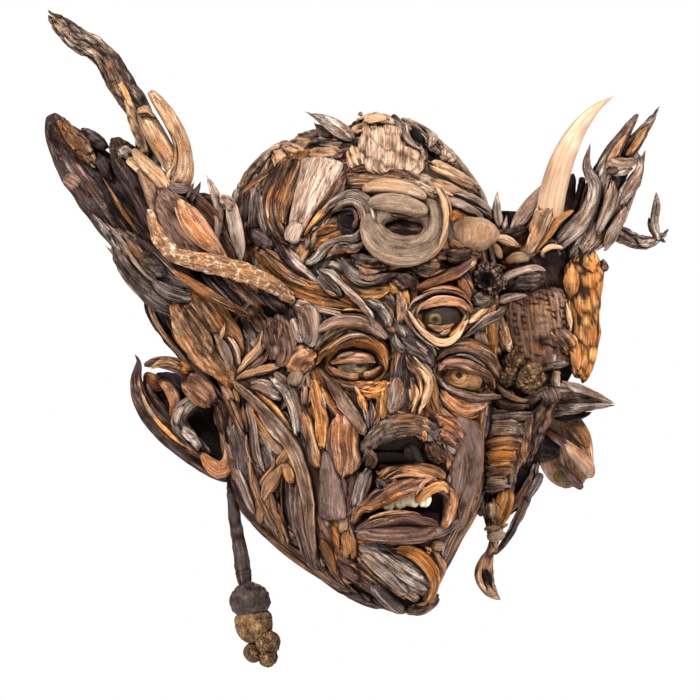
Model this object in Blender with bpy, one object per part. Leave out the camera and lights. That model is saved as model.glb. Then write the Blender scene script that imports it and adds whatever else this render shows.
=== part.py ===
# A wall-hung face built up from found driftwood, bark, roots, a tine and seed pods.
# Metres, +Z up. The wall is the plane y = 0, the face looks towards -Y, and the origin is on the flat back.

import math

import bmesh
import bpy
import numpy as np
from mathutils import Matrix, Vector
from mathutils import noise
from mathutils.bvhtree import BVHTree

# Driving dimensions
HEAD_HEIGHT = 0.3185  # chin to crown
HEAD_DEPTH = 0.134  # wall to the middle of the forehead
FACE_TURN = 0.027  # how far the face's middle line stands to the right of the head's own middle
GLUE_GAP = 0.0003  # clearance where two pieces meet
SEAT_DEPTH = 0.002  # how deep a surface piece is let into what carries it
BARK_THICKNESS = 0.010  # plates of thick bark on the crown and at the side
SLAB_THICKNESS = 0.008  # smooth slabs on cheek and chin, and bark over the nose
BROW_THICKNESS = 0.007
LIP_THICKNESS = 0.011
EYE_LENGTH = 0.034
TOOTH_WIDTH = 0.0088
NUT_DIAMETER = 0.026
CAP_DIAMETER = 0.024  # acorn cap
PENDANT_DROP = 0.071  # ringed stick from the ear to the nut

# Drawing: paths are laid out over a front view whose unit is a share of the head's height
DRAWN_HEAD_HEIGHT = 490
DRAWN_ORIGIN = (385, 350)
DRAWN_FRONT = 206  # how far the forehead stands out of the wall in the drawing
UNIT = HEAD_HEIGHT / DRAWN_HEAD_HEIGHT
DEPTH_UNIT = HEAD_DEPTH / DRAWN_FRONT
SIDE_OUT = 88  # where the head is widest, measured out of the wall
BACK_TAPER = 0.17  # how much the head draws in again towards the wall
PATH_STEPS = 16

# Resolution
HEAD_SEGMENTS = 32
HEAD_RINGS = 25
STICK_SEGMENTS = 6
STICK_RINGS = 7
RING_TUBE = 0.25  # tube of a ring before it is shaped, as a share of its radius
ROUNDISH = 2.4  # power of a section between round, 2, and squared, 4
ROUGH_SCALE = 2  # of the noise on a ball
FLAT_ENOUGH = math.radians(3)  # facets that differ by less are merged
BLUNT_POWER = 3  # ends of this power and over are blunt
BLUNT_INSET = 0.035
NUDGE = Vector((0.00003, -0.00002, 0.00004))
MOST_NUDGES = 6

# Head sections from crown to chin: height, middle, half-width, front, in drawing units
HEAD_LEVELS = (
    (122, 366, 0, 108),
    (128, 366, 32, 118),
    (142, 362, 62, 138),
    (168, 358, 95, 164),
    (200, 358, 117, 186),
    (232, 361, 128, 198),
    (290, 360, 135, 206),
    (330, 360, 139, 208),
    (400, 356, 137, 206),
    (440, 355, 131, 208),
    (500, 359, 119, 212),
    (540, 366, 90, 212),
    (572, 379, 61, 206),
    (596, 392, 38, 190),
    (607, 403, 18, 172),
    (612, 407, 0, 160),
)

WIDEST = max(row[2] for row in HEAD_LEVELS)

# Carving of the face: place, spread across and down, and how far it stands out or sinks in
RELIEF = {
    "socket_left": (357, 366, 34, 22, -20),
    "socket_right": (459, 378, 28, 20, -18),
    "socket_middle": (437, 320, 26, 17, -7),
    "brow_left": (350, 328, 46, 14, 12),
    "brow_right": (470, 340, 30, 14, 10),
    "nose_bridge": (405, 388, 15, 38, 20),
    "nose_tip": (400, 436, 24, 19, 40),
    "nose_wing_left": (378, 444, 13, 12, 12),
    "nose_wing_right": (438, 438, 15, 14, 16),
    "nostril": (395, 459, 15, 7, -18),
    "muzzle": (405, 490, 44, 24, 14),
    "mouth": (409, 504, 27, 9, -28),
    "lower_lip": (398, 527, 34, 12, 8),
    "lip_dip": (396, 546, 30, 9, -8),
    "chin": (400, 577, 34, 24, 16),
    "cheek_left": (310, 430, 44, 40, 12),
    "cheek_right": (468, 430, 22, 36, 8),
    "temple_left": (262, 330, 26, 40, -8),
    "eye_pouch_left": (352, 396, 34, 10, 8),
    "crown_hollow": (330, 190, 50, 26, -6),
}

# Finishes: colour, roughness
FINISHES = {
    "grey_driftwood": ((0.33, 0.29, 0.26), 0.8),
    "brown_strip": ((0.25, 0.15, 0.09), 0.75),
    "orange_heartwood": ((0.48, 0.22, 0.08), 0.7),
    "dark_weathered": ((0.12, 0.08, 0.06), 0.8),
    "smooth_tan": ((0.42, 0.28, 0.18), 0.55),
    "smooth_stone_grey": ((0.36, 0.31, 0.26), 0.5),
    "antler_ivory": ((0.62, 0.47, 0.32), 0.45),
    "rough_bark": ((0.22, 0.17, 0.14), 0.9),
    "checkered_bark": ((0.3, 0.18, 0.1), 0.85),
    "lichen_bark": ((0.45, 0.29, 0.17), 0.9),
    "lip_wood": ((0.38, 0.2, 0.1), 0.5),
    "nut_brown": ((0.08, 0.05, 0.04), 0.6),
    "seed_cap": ((0.26, 0.16, 0.09), 0.85),
    "tooth_pebble": ((0.66, 0.58, 0.45), 0.4),
    "eye_wood": ((0.3, 0.24, 0.18), 0.45),
}

parts = bpy.data.collections.new("wood_face_sculpture")
cutters = bpy.data.collections.new("cutters")
made = []
head_tree = None


def clear_scene():
    for item in list(bpy.data.objects):
        bpy.data.objects.remove(item, do_unlink=True)
    bpy.context.scene.collection.children.link(parts)
    bpy.context.scene.collection.children.link(cutters)


def place(across, down, out):
    """A point of the drawing, in metres."""
    return Vector((
        (across - DRAWN_ORIGIN[0]) * UNIT,
        -out * DEPTH_UNIT,
        (DRAWN_ORIGIN[1] - down) * UNIT,
    ))


def smooth_rows(rows, steps=PATH_STEPS):
    """Rows of numbers made a smooth curve through them (Catmull-Rom)."""
    rows = np.array(rows, dtype=float)
    if len(rows) == 2:
        share = np.linspace(0, 1, steps + 1)[:, None]
        return rows[0] * (1 - share) + rows[1] * share
    padded = np.vstack([2 * rows[0] - rows[1], rows, 2 * rows[-1] - rows[-2]])
    curve = []
    for a, b, c, d in zip(padded, padded[1:], padded[2:], padded[3:]):
        for t in np.arange(steps) / steps:
            curve.append(0.5 * (2 * b + (c - a) * t + (2 * a - 5 * b + 4 * c - d) * t * t
                                + (3 * b - a - 3 * c + d) * t ** 3))
    curve.append(rows[-1])
    return np.array(curve)


def rows_at(rows, shares):
    """The same curve at shares of its length, for rows that start with x, y, z."""
    dense = smooth_rows(rows)
    length = np.concatenate([[0], np.cumsum(np.linalg.norm(np.diff(dense[:, :3], axis=0), axis=1))])
    at = np.array(shares) * length[-1]
    return np.stack([np.interp(at, length, column) for column in dense.T], axis=1)


def give_finish(item, finish):
    colour, roughness = FINISHES[finish]
    material = bpy.data.materials.new(f"{item.name}_{finish}")
    material.use_nodes = True
    shader = material.node_tree.nodes["Principled BSDF"]
    shader.inputs["Base Color"].default_value = (*colour, 1)
    shader.inputs["Roughness"].default_value = roughness
    shader.inputs["Metallic"].default_value = 0
    item.data.materials.clear()
    item.data.materials.append(material)


def new_object(name, shape, collection):
    mesh = bpy.data.meshes.new(name)
    shape.to_mesh(mesh)
    shape.free()
    item = bpy.data.objects.new(name, mesh)
    collection.objects.link(item)
    return item


def largest_island(shape):
    """Deletes every loose piece of a bmesh but the one of greatest volume."""
    shape.verts.ensure_lookup_table()
    seen = set()
    islands = []
    for start in shape.verts:
        if start in seen:
            continue
        island, queue = set(), [start]
        while queue:
            vert = queue.pop()
            if vert in island:
                continue
            island.add(vert)
            queue.extend(edge.other_vert(vert) for edge in vert.link_edges)
        seen |= island
        islands.append(island)

    def bulk(island):
        faces = {face for vert in island for face in vert.link_faces}
        return sum(face.normal.dot(face.calc_center_median()) * face.calc_area() for face in faces)

    keep = max(islands, key=bulk)
    bmesh.ops.delete(shape, geom=[v for v in shape.verts if v not in keep], context="VERTS")


def evaluated_shape(item):
    graph = bpy.context.evaluated_depsgraph_get()
    shape = bmesh.new()
    shape.from_object(item, graph)
    return shape


def is_closed(shape):
    return all(len(edge.link_faces) == 2 for edge in shape.edges)


def simplified(shape):
    """Triangles with nearly flat facets merged, split another way where two would share a diagonal."""
    shape.normal_update()
    for flat in (FLAT_ENOUGH, 0):
        for split in ("BEAUTY", "EAR_CLIP"):
            for quads in ("BEAUTY", "SHORT_EDGE", "LONG_EDGE"):
                tidy = shape.copy()
                if flat:
                    bmesh.ops.dissolve_limit(tidy, angle_limit=flat, verts=tidy.verts, edges=tidy.edges)
                bmesh.ops.triangulate(tidy, faces=tidy.faces, quad_method=quads, ngon_method=split)
                if is_closed(tidy):
                    shape.free()
                    tidy.normal_update()
                    return tidy
                tidy.free()
    bmesh.ops.triangulate(shape, faces=shape.faces)
    return shape


def closed_result(item):
    """The piece after its Booleans, moved by a hair where faces that nearly meet would leave it open."""
    shape = simplified(evaluated_shape(item))
    for _ in range(MOST_NUDGES):
        if is_closed(shape):
            break
        shape.free()
        item.data.transform(Matrix.Translation(NUDGE))
        shape = simplified(evaluated_shape(item))
    return shape


def box_of(item):
    corners = np.array([vert.co[:] for vert in item.data.vertices])
    return corners.min(axis=0), corners.max(axis=0)


def touching(a, b):
    (a_low, a_high), (b_low, b_high) = box_of(a), box_of(b)
    return bool(np.all(a_low < b_high + GLUE_GAP) and np.all(b_low < a_high + GLUE_GAP))


def grown_copy(item):
    """A cutter one glue gap larger than the piece, so the next piece stops just short of it."""
    shape = bmesh.new()
    shape.from_mesh(item.data)
    shape.normal_update()
    for vert in shape.verts:
        vert.co += vert.normal * GLUE_GAP
    cutter = new_object(f"{item.name}_cutter", shape, cutters)
    cutter.hide_render = True
    cutter.display_type = "WIRE"
    return cutter


def fit_and_keep(name, shape, finish):
    """Cuts a new piece back from every piece already there, and keeps it as a part."""
    bmesh.ops.recalc_face_normals(shape, faces=shape.faces)
    if shape.calc_volume(signed=True) < 0:
        bmesh.ops.reverse_faces(shape, faces=shape.faces)
    item = new_object(name, shape, parts)
    for earlier in made:
        if touching(item, earlier["item"]):
            cut = item.modifiers.new(f"clear_of_{earlier['item'].name}", "BOOLEAN")
            cut.operation = "DIFFERENCE"
            cut.solver = "EXACT"
            cut.object = earlier["cutter"]
    fitted = closed_result(item)
    item.modifiers.clear()
    largest_island(fitted)
    fitted.to_mesh(item.data)
    fitted.free()
    give_finish(item, finish)
    made.append({"item": item, "cutter": grown_copy(item)})
    return item


def head_section(level):
    """Middle, half-width and front of the head at a height of the drawing."""
    curve = smooth_rows([(row[0], row[1], row[2] ** 2, row[3]) for row in HEAD_LEVELS])
    level = min(max(level, curve[0][0]), curve[-1][0])
    middle, squared, front = (np.interp(level, curve[:, 0], curve[:, i]) for i in (1, 2, 3))
    return middle, math.sqrt(max(squared, 0)), front


def relief(across, down):
    return sum(
        amount * math.exp(-((across - x) / wide) ** 2 / 2 - ((down - y) / tall) ** 2 / 2)
        for x, y, wide, tall, amount in RELIEF.values()
    )


def head_point(turn, level):
    """The head's surface at an angle from straight ahead, and a height of the drawing."""
    middle, half, front = head_section(level)
    across = middle + half * math.sin(turn)
    facing = math.cos(turn)
    if facing <= 0:
        out = SIDE_OUT + 2.2 * SIDE_OUT * facing * half / WIDEST
        draw_in = 1 - BACK_TAPER * (1 - out / SIDE_OUT) ** 2
        centre = (HEAD_LEVELS[0][0] + HEAD_LEVELS[-1][0]) / 2
        return place(middle + (across - middle) * draw_in, centre + (level - centre) * draw_in, out)
    across += FACE_TURN / UNIT * facing * facing * half / WIDEST
    out = SIDE_OUT + (front - SIDE_OUT) * facing ** 0.8
    return place(across, level, out + relief(across, level) * facing ** 0.5)


def make_head():
    """The built-up mass of the head, flat where it hangs on the wall."""
    global head_tree
    top, bottom = HEAD_LEVELS[0][0], HEAD_LEVELS[-1][0]
    shape = bmesh.new()
    bmesh.ops.create_uvsphere(shape, u_segments=HEAD_SEGMENTS, v_segments=HEAD_RINGS, radius=1)
    for vert in shape.verts:
        level = (top + bottom) / 2 - (bottom - top) / 2 * max(-1, min(1, vert.co.z))
        turn = math.atan2(vert.co.x, -vert.co.y)
        turn -= 0.3 * math.sin(turn)
        vert.co = head_point(turn, level)
    cut = bmesh.ops.bisect_plane(
        shape, geom=shape.verts[:] + shape.edges[:] + shape.faces[:],
        plane_co=(0, 0, 0), plane_no=(0, 1, 0), clear_outer=True,
    )
    edges = [piece for piece in cut["geom_cut"] if isinstance(piece, bmesh.types.BMEdge)]
    bmesh.ops.edgenet_fill(shape, edges=edges)
    head = fit_and_keep("head_form", shape, "brown_strip")
    shape = bmesh.new()
    shape.from_mesh(head.data)
    head_tree = BVHTree.FromBMesh(shape)
    shape.free()


def on_head(across, down):
    """The head's front surface behind a point of the drawing, or its nearest side."""
    start = place(across, down, 400)
    hit = head_tree.ray_cast(start, Vector((0, 1, 0)))
    if hit[0] is None:
        hit = head_tree.find_nearest(place(across, down, SIDE_OUT))
    return hit[0], hit[1]


def end_share(along, first, last):
    """Width of a piece near its two ends, as a share of its full width: a low power is pointed."""
    reach = abs(2 * along - 1)
    power = first if along < 0.5 else last
    return max(1 - reach ** power, 0) ** (1 / power)


def ring_shares(rings, first, last):
    """Where a piece's rings lie along it, with one close to each blunt end."""
    start = BLUNT_INSET if first >= BLUNT_POWER else 1 / rings
    stop = BLUNT_INSET if last >= BLUNT_POWER else 1 / rings
    return [0, *np.linspace(start, 1 - stop, rings - 1), 1]


def stick_shape(rows, normals=None, ends=(3, 3), corner=ROUNDISH, curl=0.0, twist=0.0, rough=0.06,
                segments=STICK_SEGMENTS, rings=STICK_RINGS, follow=False):
    """A piece grown along a path: rows of x, y, z, width and thickness, in metres."""
    shares = ring_shares(rings, *ends)
    line = rows_at(rows, shares)
    points = [Vector(row[:3]) for row in line]
    shape = bmesh.new()
    bmesh.ops.create_uvsphere(shape, u_segments=segments, v_segments=rings, radius=1)
    for vert in shape.verts:
        step = round(math.acos(max(-1, min(1, vert.co.z))) / math.pi * rings)
        along = shares[step]
        ahead, behind = points[min(step + 1, rings)], points[max(step - 1, 0)]
        tangent = (ahead - behind).normalized()
        facing = Vector((0, -1, 0)) if normals is None else normals(points[step])
        facing = (facing - tangent * facing.dot(tangent)).normalized()
        facing = Matrix.Rotation(twist * along, 3, tangent) @ facing
        side = tangent.cross(facing)
        angle = math.atan2(vert.co.y, vert.co.x)
        c, s = math.cos(angle), math.sin(angle)
        c = math.copysign(abs(c) ** (2 / corner), c)
        s = math.copysign(abs(s) ** (2 / corner), s)
        share = end_share(along, *ends) if 0 < step < rings else 0
        share *= 1 + rough * 2 * noise.noise(points[step] * 90 + Vector((c, s, 0)))
        wide, thick = line[step][3] / 2 * share, line[step][4] / 2 * share
        lift = s * thick + curl * line[step][3] * (c * c - 0.5) * min(share, 1)
        if follow:
            spot, normal = head_tree.find_nearest(points[step] + side * c * wide)[:2]
            vert.co = spot + normal * (lift + line[step][4] / 2 - SEAT_DEPTH)
        else:
            vert.co = points[step] + side * c * wide + facing * lift
    return shape


def free_rows(path):
    """Drawing rows of across, down, out, width and thickness, in metres."""
    return [(*place(*row[:3]), row[3] * UNIT, row[4] * UNIT) for row in path]


def stick(name, finish, path, **form):
    return fit_and_keep(name, stick_shape(free_rows(path), **form), finish)


def laid_rows(path, thick):
    """Drawing rows of across, down and width, on the head's surface, in metres."""
    rows = []
    for across, down, wide in path:
        spot, _ = on_head(across, down)
        rows.append((*spot, wide * UNIT, thick))
    return rows


def head_normal(point):
    return head_tree.find_nearest(point)[1]


def strip(name, finish, path, thick=SLAB_THICKNESS, **form):
    """A piece glued flat on the head, following its surface."""
    shape = stick_shape(laid_rows(path, thick), normals=head_normal, follow=True, **form)
    return fit_and_keep(name, shape, finish)


def united(name, finish, shapes):
    """Several grown shapes fused into one solid."""
    items = [new_object(f"{name}_limb", shape, cutters) for shape in shapes]
    for limb in items[1:]:
        join = items[0].modifiers.new("fuse", "BOOLEAN")
        join.operation = "UNION"
        join.solver = "EXACT"
        join.object = limb
    fused = closed_result(items[0])
    for limb in items:
        bpy.data.objects.remove(limb, do_unlink=True)
    return fit_and_keep(name, fused, finish)


def ring_shape(across, down, half_wide, half_tall, thick_across, thick_out, lift=0.0, tilt=0.0,
               almond=1.0, out=None, major=12, minor=5):
    """A closed ring lying on the head, round or drawn out to two corners like an eye."""
    bpy.ops.mesh.primitive_torus_add(
        major_segments=major, minor_segments=minor, major_radius=1, minor_radius=RING_TUBE)
    torus = bpy.context.object
    shape = bmesh.new()
    shape.from_mesh(torus.data)
    bpy.data.objects.remove(torus, do_unlink=True)
    for vert in shape.verts:
        turn = math.atan2(vert.co.y, vert.co.x)
        outward = (math.hypot(vert.co.x, vert.co.y) - 1) / RING_TUBE
        height = vert.co.z / RING_TUBE
        tall = math.copysign(abs(math.sin(turn)) ** almond, math.sin(turn))
        band = thick_across / 2 * (0.65 + 0.35 * abs(math.sin(turn)))
        x = (half_wide + outward * band) * math.cos(turn)
        y = (half_tall + outward * band) * tall
        x, y = x * math.cos(tilt) - y * math.sin(tilt), x * math.sin(tilt) + y * math.cos(tilt)
        if out is None:
            spot, normal = on_head(across + x, down - y)
        else:
            spot, normal = place(across + x, down - y, out), Vector((0, -1, 0))
        vert.co = spot + normal * (height * thick_out / 2 + lift) * UNIT
    return shape


def ring(name, finish, *measures, **form):
    return fit_and_keep(name, ring_shape(*measures, **form), finish)


def ball_shape(centre, radii, segments=10, rings=7, rough=0.05):
    shape = bmesh.new()
    bmesh.ops.create_uvsphere(shape, u_segments=segments, v_segments=rings, radius=1)
    for vert in shape.verts:
        swell = 1 + rough * noise.noise(vert.co * ROUGH_SCALE + centre * 50)
        vert.co = centre + Vector([v * r * swell for v, r in zip(vert.co, radii)])
    return shape


def eyeball(name, across, down, wide, tall, sunk):
    """A rounded wooden eye, its back let into the socket."""
    spot, normal = on_head(across, down)
    centre = spot - normal * sunk * UNIT
    shape = ball_shape(centre, (wide / 2, wide * 0.36, tall / 2), rough=0.0)
    return fit_and_keep(name, shape, "eye_wood")


def eyes():
    wide = EYE_LENGTH * 1.06
    eyeball("eyeball_left", 357, 366, wide, wide * 0.72, 2)
    eyeball("eyeball_right", 457, 379, wide * 0.92, wide * 0.7, 2)
    eyeball("eyeball_middle", 437, 319, wide * 0.8, wide * 0.6, 0)
    half = EYE_LENGTH / UNIT / 2
    ring("lids_left", "orange_heartwood", 357, 365, half * 1.12, 19, 12, 13, lift=3, tilt=-0.12, almond=1.3)
    ring("lids_right", "lip_wood", 460, 378, half * 1.16, 20, 11, 14, lift=3, tilt=-0.3)
    ring("lids_middle", "smooth_stone_grey", 435, 320, half * 1.08, 18, 12, 14, lift=4, tilt=0.1, almond=1.3)
    strip("brow_left", "smooth_tan", ((312, 372, 9), (320, 346, 12), (345, 329, 13), (370, 332, 12),
                                      (390, 348, 8)), thick=BROW_THICKNESS)
    strip("brow_right", "brown_strip", ((428, 354, 7), (442, 346, 10), (464, 342, 11), (484, 352, 10),
                                        (494, 370, 7)), thick=BROW_THICKNESS)


def nose_and_mouth():
    strip("nose_bridge", "dark_weathered", ((407, 346, 14), (403, 370, 22), (401, 394, 26), (401, 420, 20)))
    strip("nose_cap", "rough_bark", ((366, 446, 14), (380, 432, 24), (402, 424, 26), (424, 428, 24),
                                     (436, 444, 14)))
    strip("upper_lip", "lip_wood", ((356, 526, 8), (362, 506, 18), (380, 491, 22), (404, 481, 21),
                                    (427, 480, 18), (443, 488, 14), (448, 506, 6)), thick=LIP_THICKNESS, rings=9)
    tooth = TOOTH_WIDTH / UNIT
    roots = []
    for number in range(4):
        across = 388 + number * tooth * 0.86
        top, tip = 488 - number * 1.2, 511 - number * 1.6
        roots.append(stick_shape(free_rows((
            (across, top, 214, tooth * 0.9, 9), (across, (top + tip) / 2, 217, tooth, 9),
            (across, tip, 219, tooth * 0.85, 7))), ends=(4, 4), corner=3, rings=4,
            rough=0.0))
    united("teeth", "tooth_pebble", roots)
    strip("lower_lip", "lip_wood", ((357, 526, 8), (374, 523, 15), (398, 521, 18), (420, 522, 15),
                                    (436, 524, 7)), thick=LIP_THICKNESS)
    strip("chin_slab", "grey_driftwood", ((356, 540, 20), (372, 552, 34), (392, 565, 40), (412, 578, 30),
                                          (424, 586, 12)))


def cheeks():
    strip("cheek_slab_right", "smooth_tan", ((450, 416, 16), (466, 436, 30), (470, 462, 32), (464, 494, 26),
                                             (452, 530, 10)))
    strip("knobbed_stick", "smooth_tan", ((328, 446, 14), (331, 470, 20), (334, 495, 30), (335, 520, 36)),
          ends=(3, 4))


def skull():
    strip("crown_plate", "rough_bark", ((394, 120, 46), (394, 140, 62), (392, 162, 64), (388, 184, 52)),
          thick=BARK_THICKNESS, ends=(5, 6), corner=3.5)
    strip("crown_bark_right", "rough_bark", ((424, 134, 22), (446, 156, 34), (466, 184, 34), (482, 214, 18)),
          thick=BARK_THICKNESS, ends=(3, 4), corner=3)
    strip("crown_bark_left", "rough_bark", ((236, 196, 20), (246, 176, 32), (264, 158, 34), (290, 140, 24)),
          thick=BARK_THICKNESS, ends=(3, 4), corner=3)
    strip("grey_wedge", "grey_driftwood", ((328, 158, 40), (318, 186, 32), (306, 214, 22), (293, 246, 8)),
          ends=(6, 2), corner=3)
    ring("curl_knot", "dark_weathered", 354, 224, 13, 12, 13, 15, lift=4)
    ring("hollow_knot", "smooth_stone_grey", 405, 227, 30, 25, 20, 22, lift=5, tilt=-0.15)
    spot, normal = on_head(467, 236)
    fit_and_keep("sandy_ovoid", ball_shape(spot + normal * 4 * UNIT,
                                           (25 * UNIT, 15 * UNIT, 18 * UNIT)), "smooth_stone_grey")
    strip("orange_band", "orange_heartwood", ((252, 250, 10), (278, 268, 17), (306, 286, 18), (336, 296, 16),
                                              (364, 314, 8)))
    spot, normal = on_head(481, 281)
    fit_and_keep("rough_knob", ball_shape(spot + normal * 6 * UNIT,
                                          (19 * UNIT, 15 * UNIT, 18 * UNIT), rough=0.25), "rough_bark")


def left_cluster():
    root = [
        ((157, 93, 178, 9, 9), (168, 115, 175, 16, 15), (179, 138, 171, 18, 16), (184, 161, 166, 19, 17),
         (178, 186, 158, 26, 20), (160, 206, 150, 22, 18), (176, 236, 142, 20, 16)),
        ((145, 110, 160, 10, 10), (156, 136, 160, 16, 14), (170, 164, 160, 17, 15), (178, 184, 158, 16, 14)),
        ((130, 147, 150, 10, 9), (150, 166, 154, 15, 12), (172, 184, 157, 14, 12)),
    ]
    united("pronged_root", "smooth_tan", [stick_shape(free_rows(limb)) for limb in root])
    stick("tall_branch", "rough_bark", ((47, 12, 150, 18, 16), (75, 38, 150, 26, 20), (102, 55, 148, 25, 20),
          (121, 87, 145, 28, 22), (141, 118, 140, 31, 22), (148, 158, 132, 30, 20), (170, 214, 124, 28, 18),
          (238, 262, 114, 20, 16)), ends=(4, 3), rough=0.12, rings=9)
    stick("lichen_twig", "lichen_bark", ((150, 210, 172, 12, 12), (160, 238, 178, 17, 15),
          (177, 257, 182, 18, 16), (204, 262, 188, 19, 17), (236, 270, 196, 19, 17), (268, 283, 198, 18, 16),
          (305, 307, 180, 14, 13)), ends=(4, 4), rough=0.12, rings=9)
    stick("cupped_shard", "dark_weathered", ((158, 182, 162, 20, 9), (176, 198, 164, 42, 12),
          (202, 226, 162, 48, 13), (224, 252, 152, 34, 12), (244, 280, 138, 14, 10)), curl=0.22, twist=0.5)
    stick("beak_wood", "dark_weathered", ((50, 112, 112, 14, 12), (62, 134, 112, 34, 24),
          (84, 162, 112, 52, 30), (108, 192, 112, 60, 34), (136, 228, 112, 62, 34), (176, 262, 108, 54, 30),
          (240, 300, 100, 40, 24)), ends=(3, 4), corner=3, rings=8)
    stick("rear_shard", "dark_weathered", ((112, 136, 132, 14, 10), (126, 158, 134, 28, 16),
          (148, 194, 136, 36, 20), (172, 230, 134, 36, 20), (216, 268, 126, 26, 16)), ends=(3, 4))
    stick("layered_slab", "grey_driftwood", ((112, 226, 142, 20, 12), (130, 252, 144, 42, 18),
          (154, 280, 146, 50, 20), (184, 300, 146, 42, 18), (226, 310, 138, 26, 14)), corner=3, twist=0.3,
          ends=(4, 4))
    stick("fan_slab", "brown_strip", ((178, 292, 150, 34, 12), (196, 316, 154, 56, 16),
          (214, 342, 154, 58, 16), (228, 366, 150, 44, 14), (238, 392, 142, 18, 10)), corner=3, curl=0.1,
          ends=(4, 3))
    stick("back_slab", "dark_weathered", ((154, 270, 94, 26, 16), (160, 300, 94, 38, 20),
          (180, 330, 94, 42, 22), (206, 358, 92, 40, 20), (240, 390, 88, 26, 14)), corner=3, ends=(4, 3))


def left_ear():
    stick("ear_rim_left", "brown_strip", ((132, 351, 108, 5, 5), (138, 364, 108, 11, 12),
          (135, 384, 108, 14, 16), (142, 406, 108, 16, 18), (158, 427, 108, 18, 18), (180, 446, 110, 19, 18),
          (203, 462, 112, 19, 16), (222, 477, 112, 15, 14), (236, 478, 108, 12, 12)), ends=(2, 4), rings=11)
    stick("ear_top_left", "dark_weathered", ((142, 364, 124, 9, 9), (162, 363, 126, 13, 13),
          (184, 368, 128, 16, 15), (204, 384, 130, 17, 16), (222, 404, 130, 16, 14),
          (240, 424, 128, 10, 10)))
    stick("ear_bowl_left", "dark_weathered", ((152, 374, 94, 24, 8), (172, 396, 90, 52, 10),
          (198, 424, 88, 60, 10), (226, 452, 90, 40, 10)), curl=0.12, corner=3)
    stick("ear_curl_left", "grey_driftwood", ((216, 396, 122, 10, 10), (192, 402, 122, 16, 12),
          (179, 420, 118, 17, 12), (190, 440, 114, 16, 12), (212, 456, 114, 12, 10)))
    drop = PENDANT_DROP / UNIT
    top, half_nut, half_cap = 476, NUT_DIAMETER / UNIT / 2, CAP_DIAMETER / UNIT / 2
    stick("pendant_stick", "rough_bark", ((231, top, 108, 12, 12), (234, top + drop * 0.35, 110, 13, 13),
          (240, top + drop * 0.7, 112, 15, 15), (245, top + drop, 114, 18, 18)), ends=(5, 6), rings=9)
    nut_down = top + drop + half_nut * 0.8
    nut = place(250, nut_down, 115)
    fit_and_keep("nut_ball", ball_shape(nut, (NUT_DIAMETER / 2,) * 3, rough=0.1), "nut_brown")
    cap_down = nut_down + half_nut * 0.75
    stick("acorn_cap", "seed_cap", ((252, cap_down - 3, 115, 2 * half_cap * 0.9, 2 * half_cap * 0.9),
          (254, cap_down + 12, 115, 2 * half_cap, 2 * half_cap),
          (257, cap_down + 26, 115, 2 * half_cap * 0.75, 2 * half_cap * 0.75)), ends=(5, 3), segments=8, rings=5)
    galls = [ball_shape(place(a, cap_down + d, o), (r * UNIT,) * 3, 7, 5)
             for a, d, o, r in ((268, 28, 118, 12), (253, 38, 112, 9), (270, 44, 122.5, 8))]
    united("gall_cluster", "seed_cap", galls)


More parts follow.
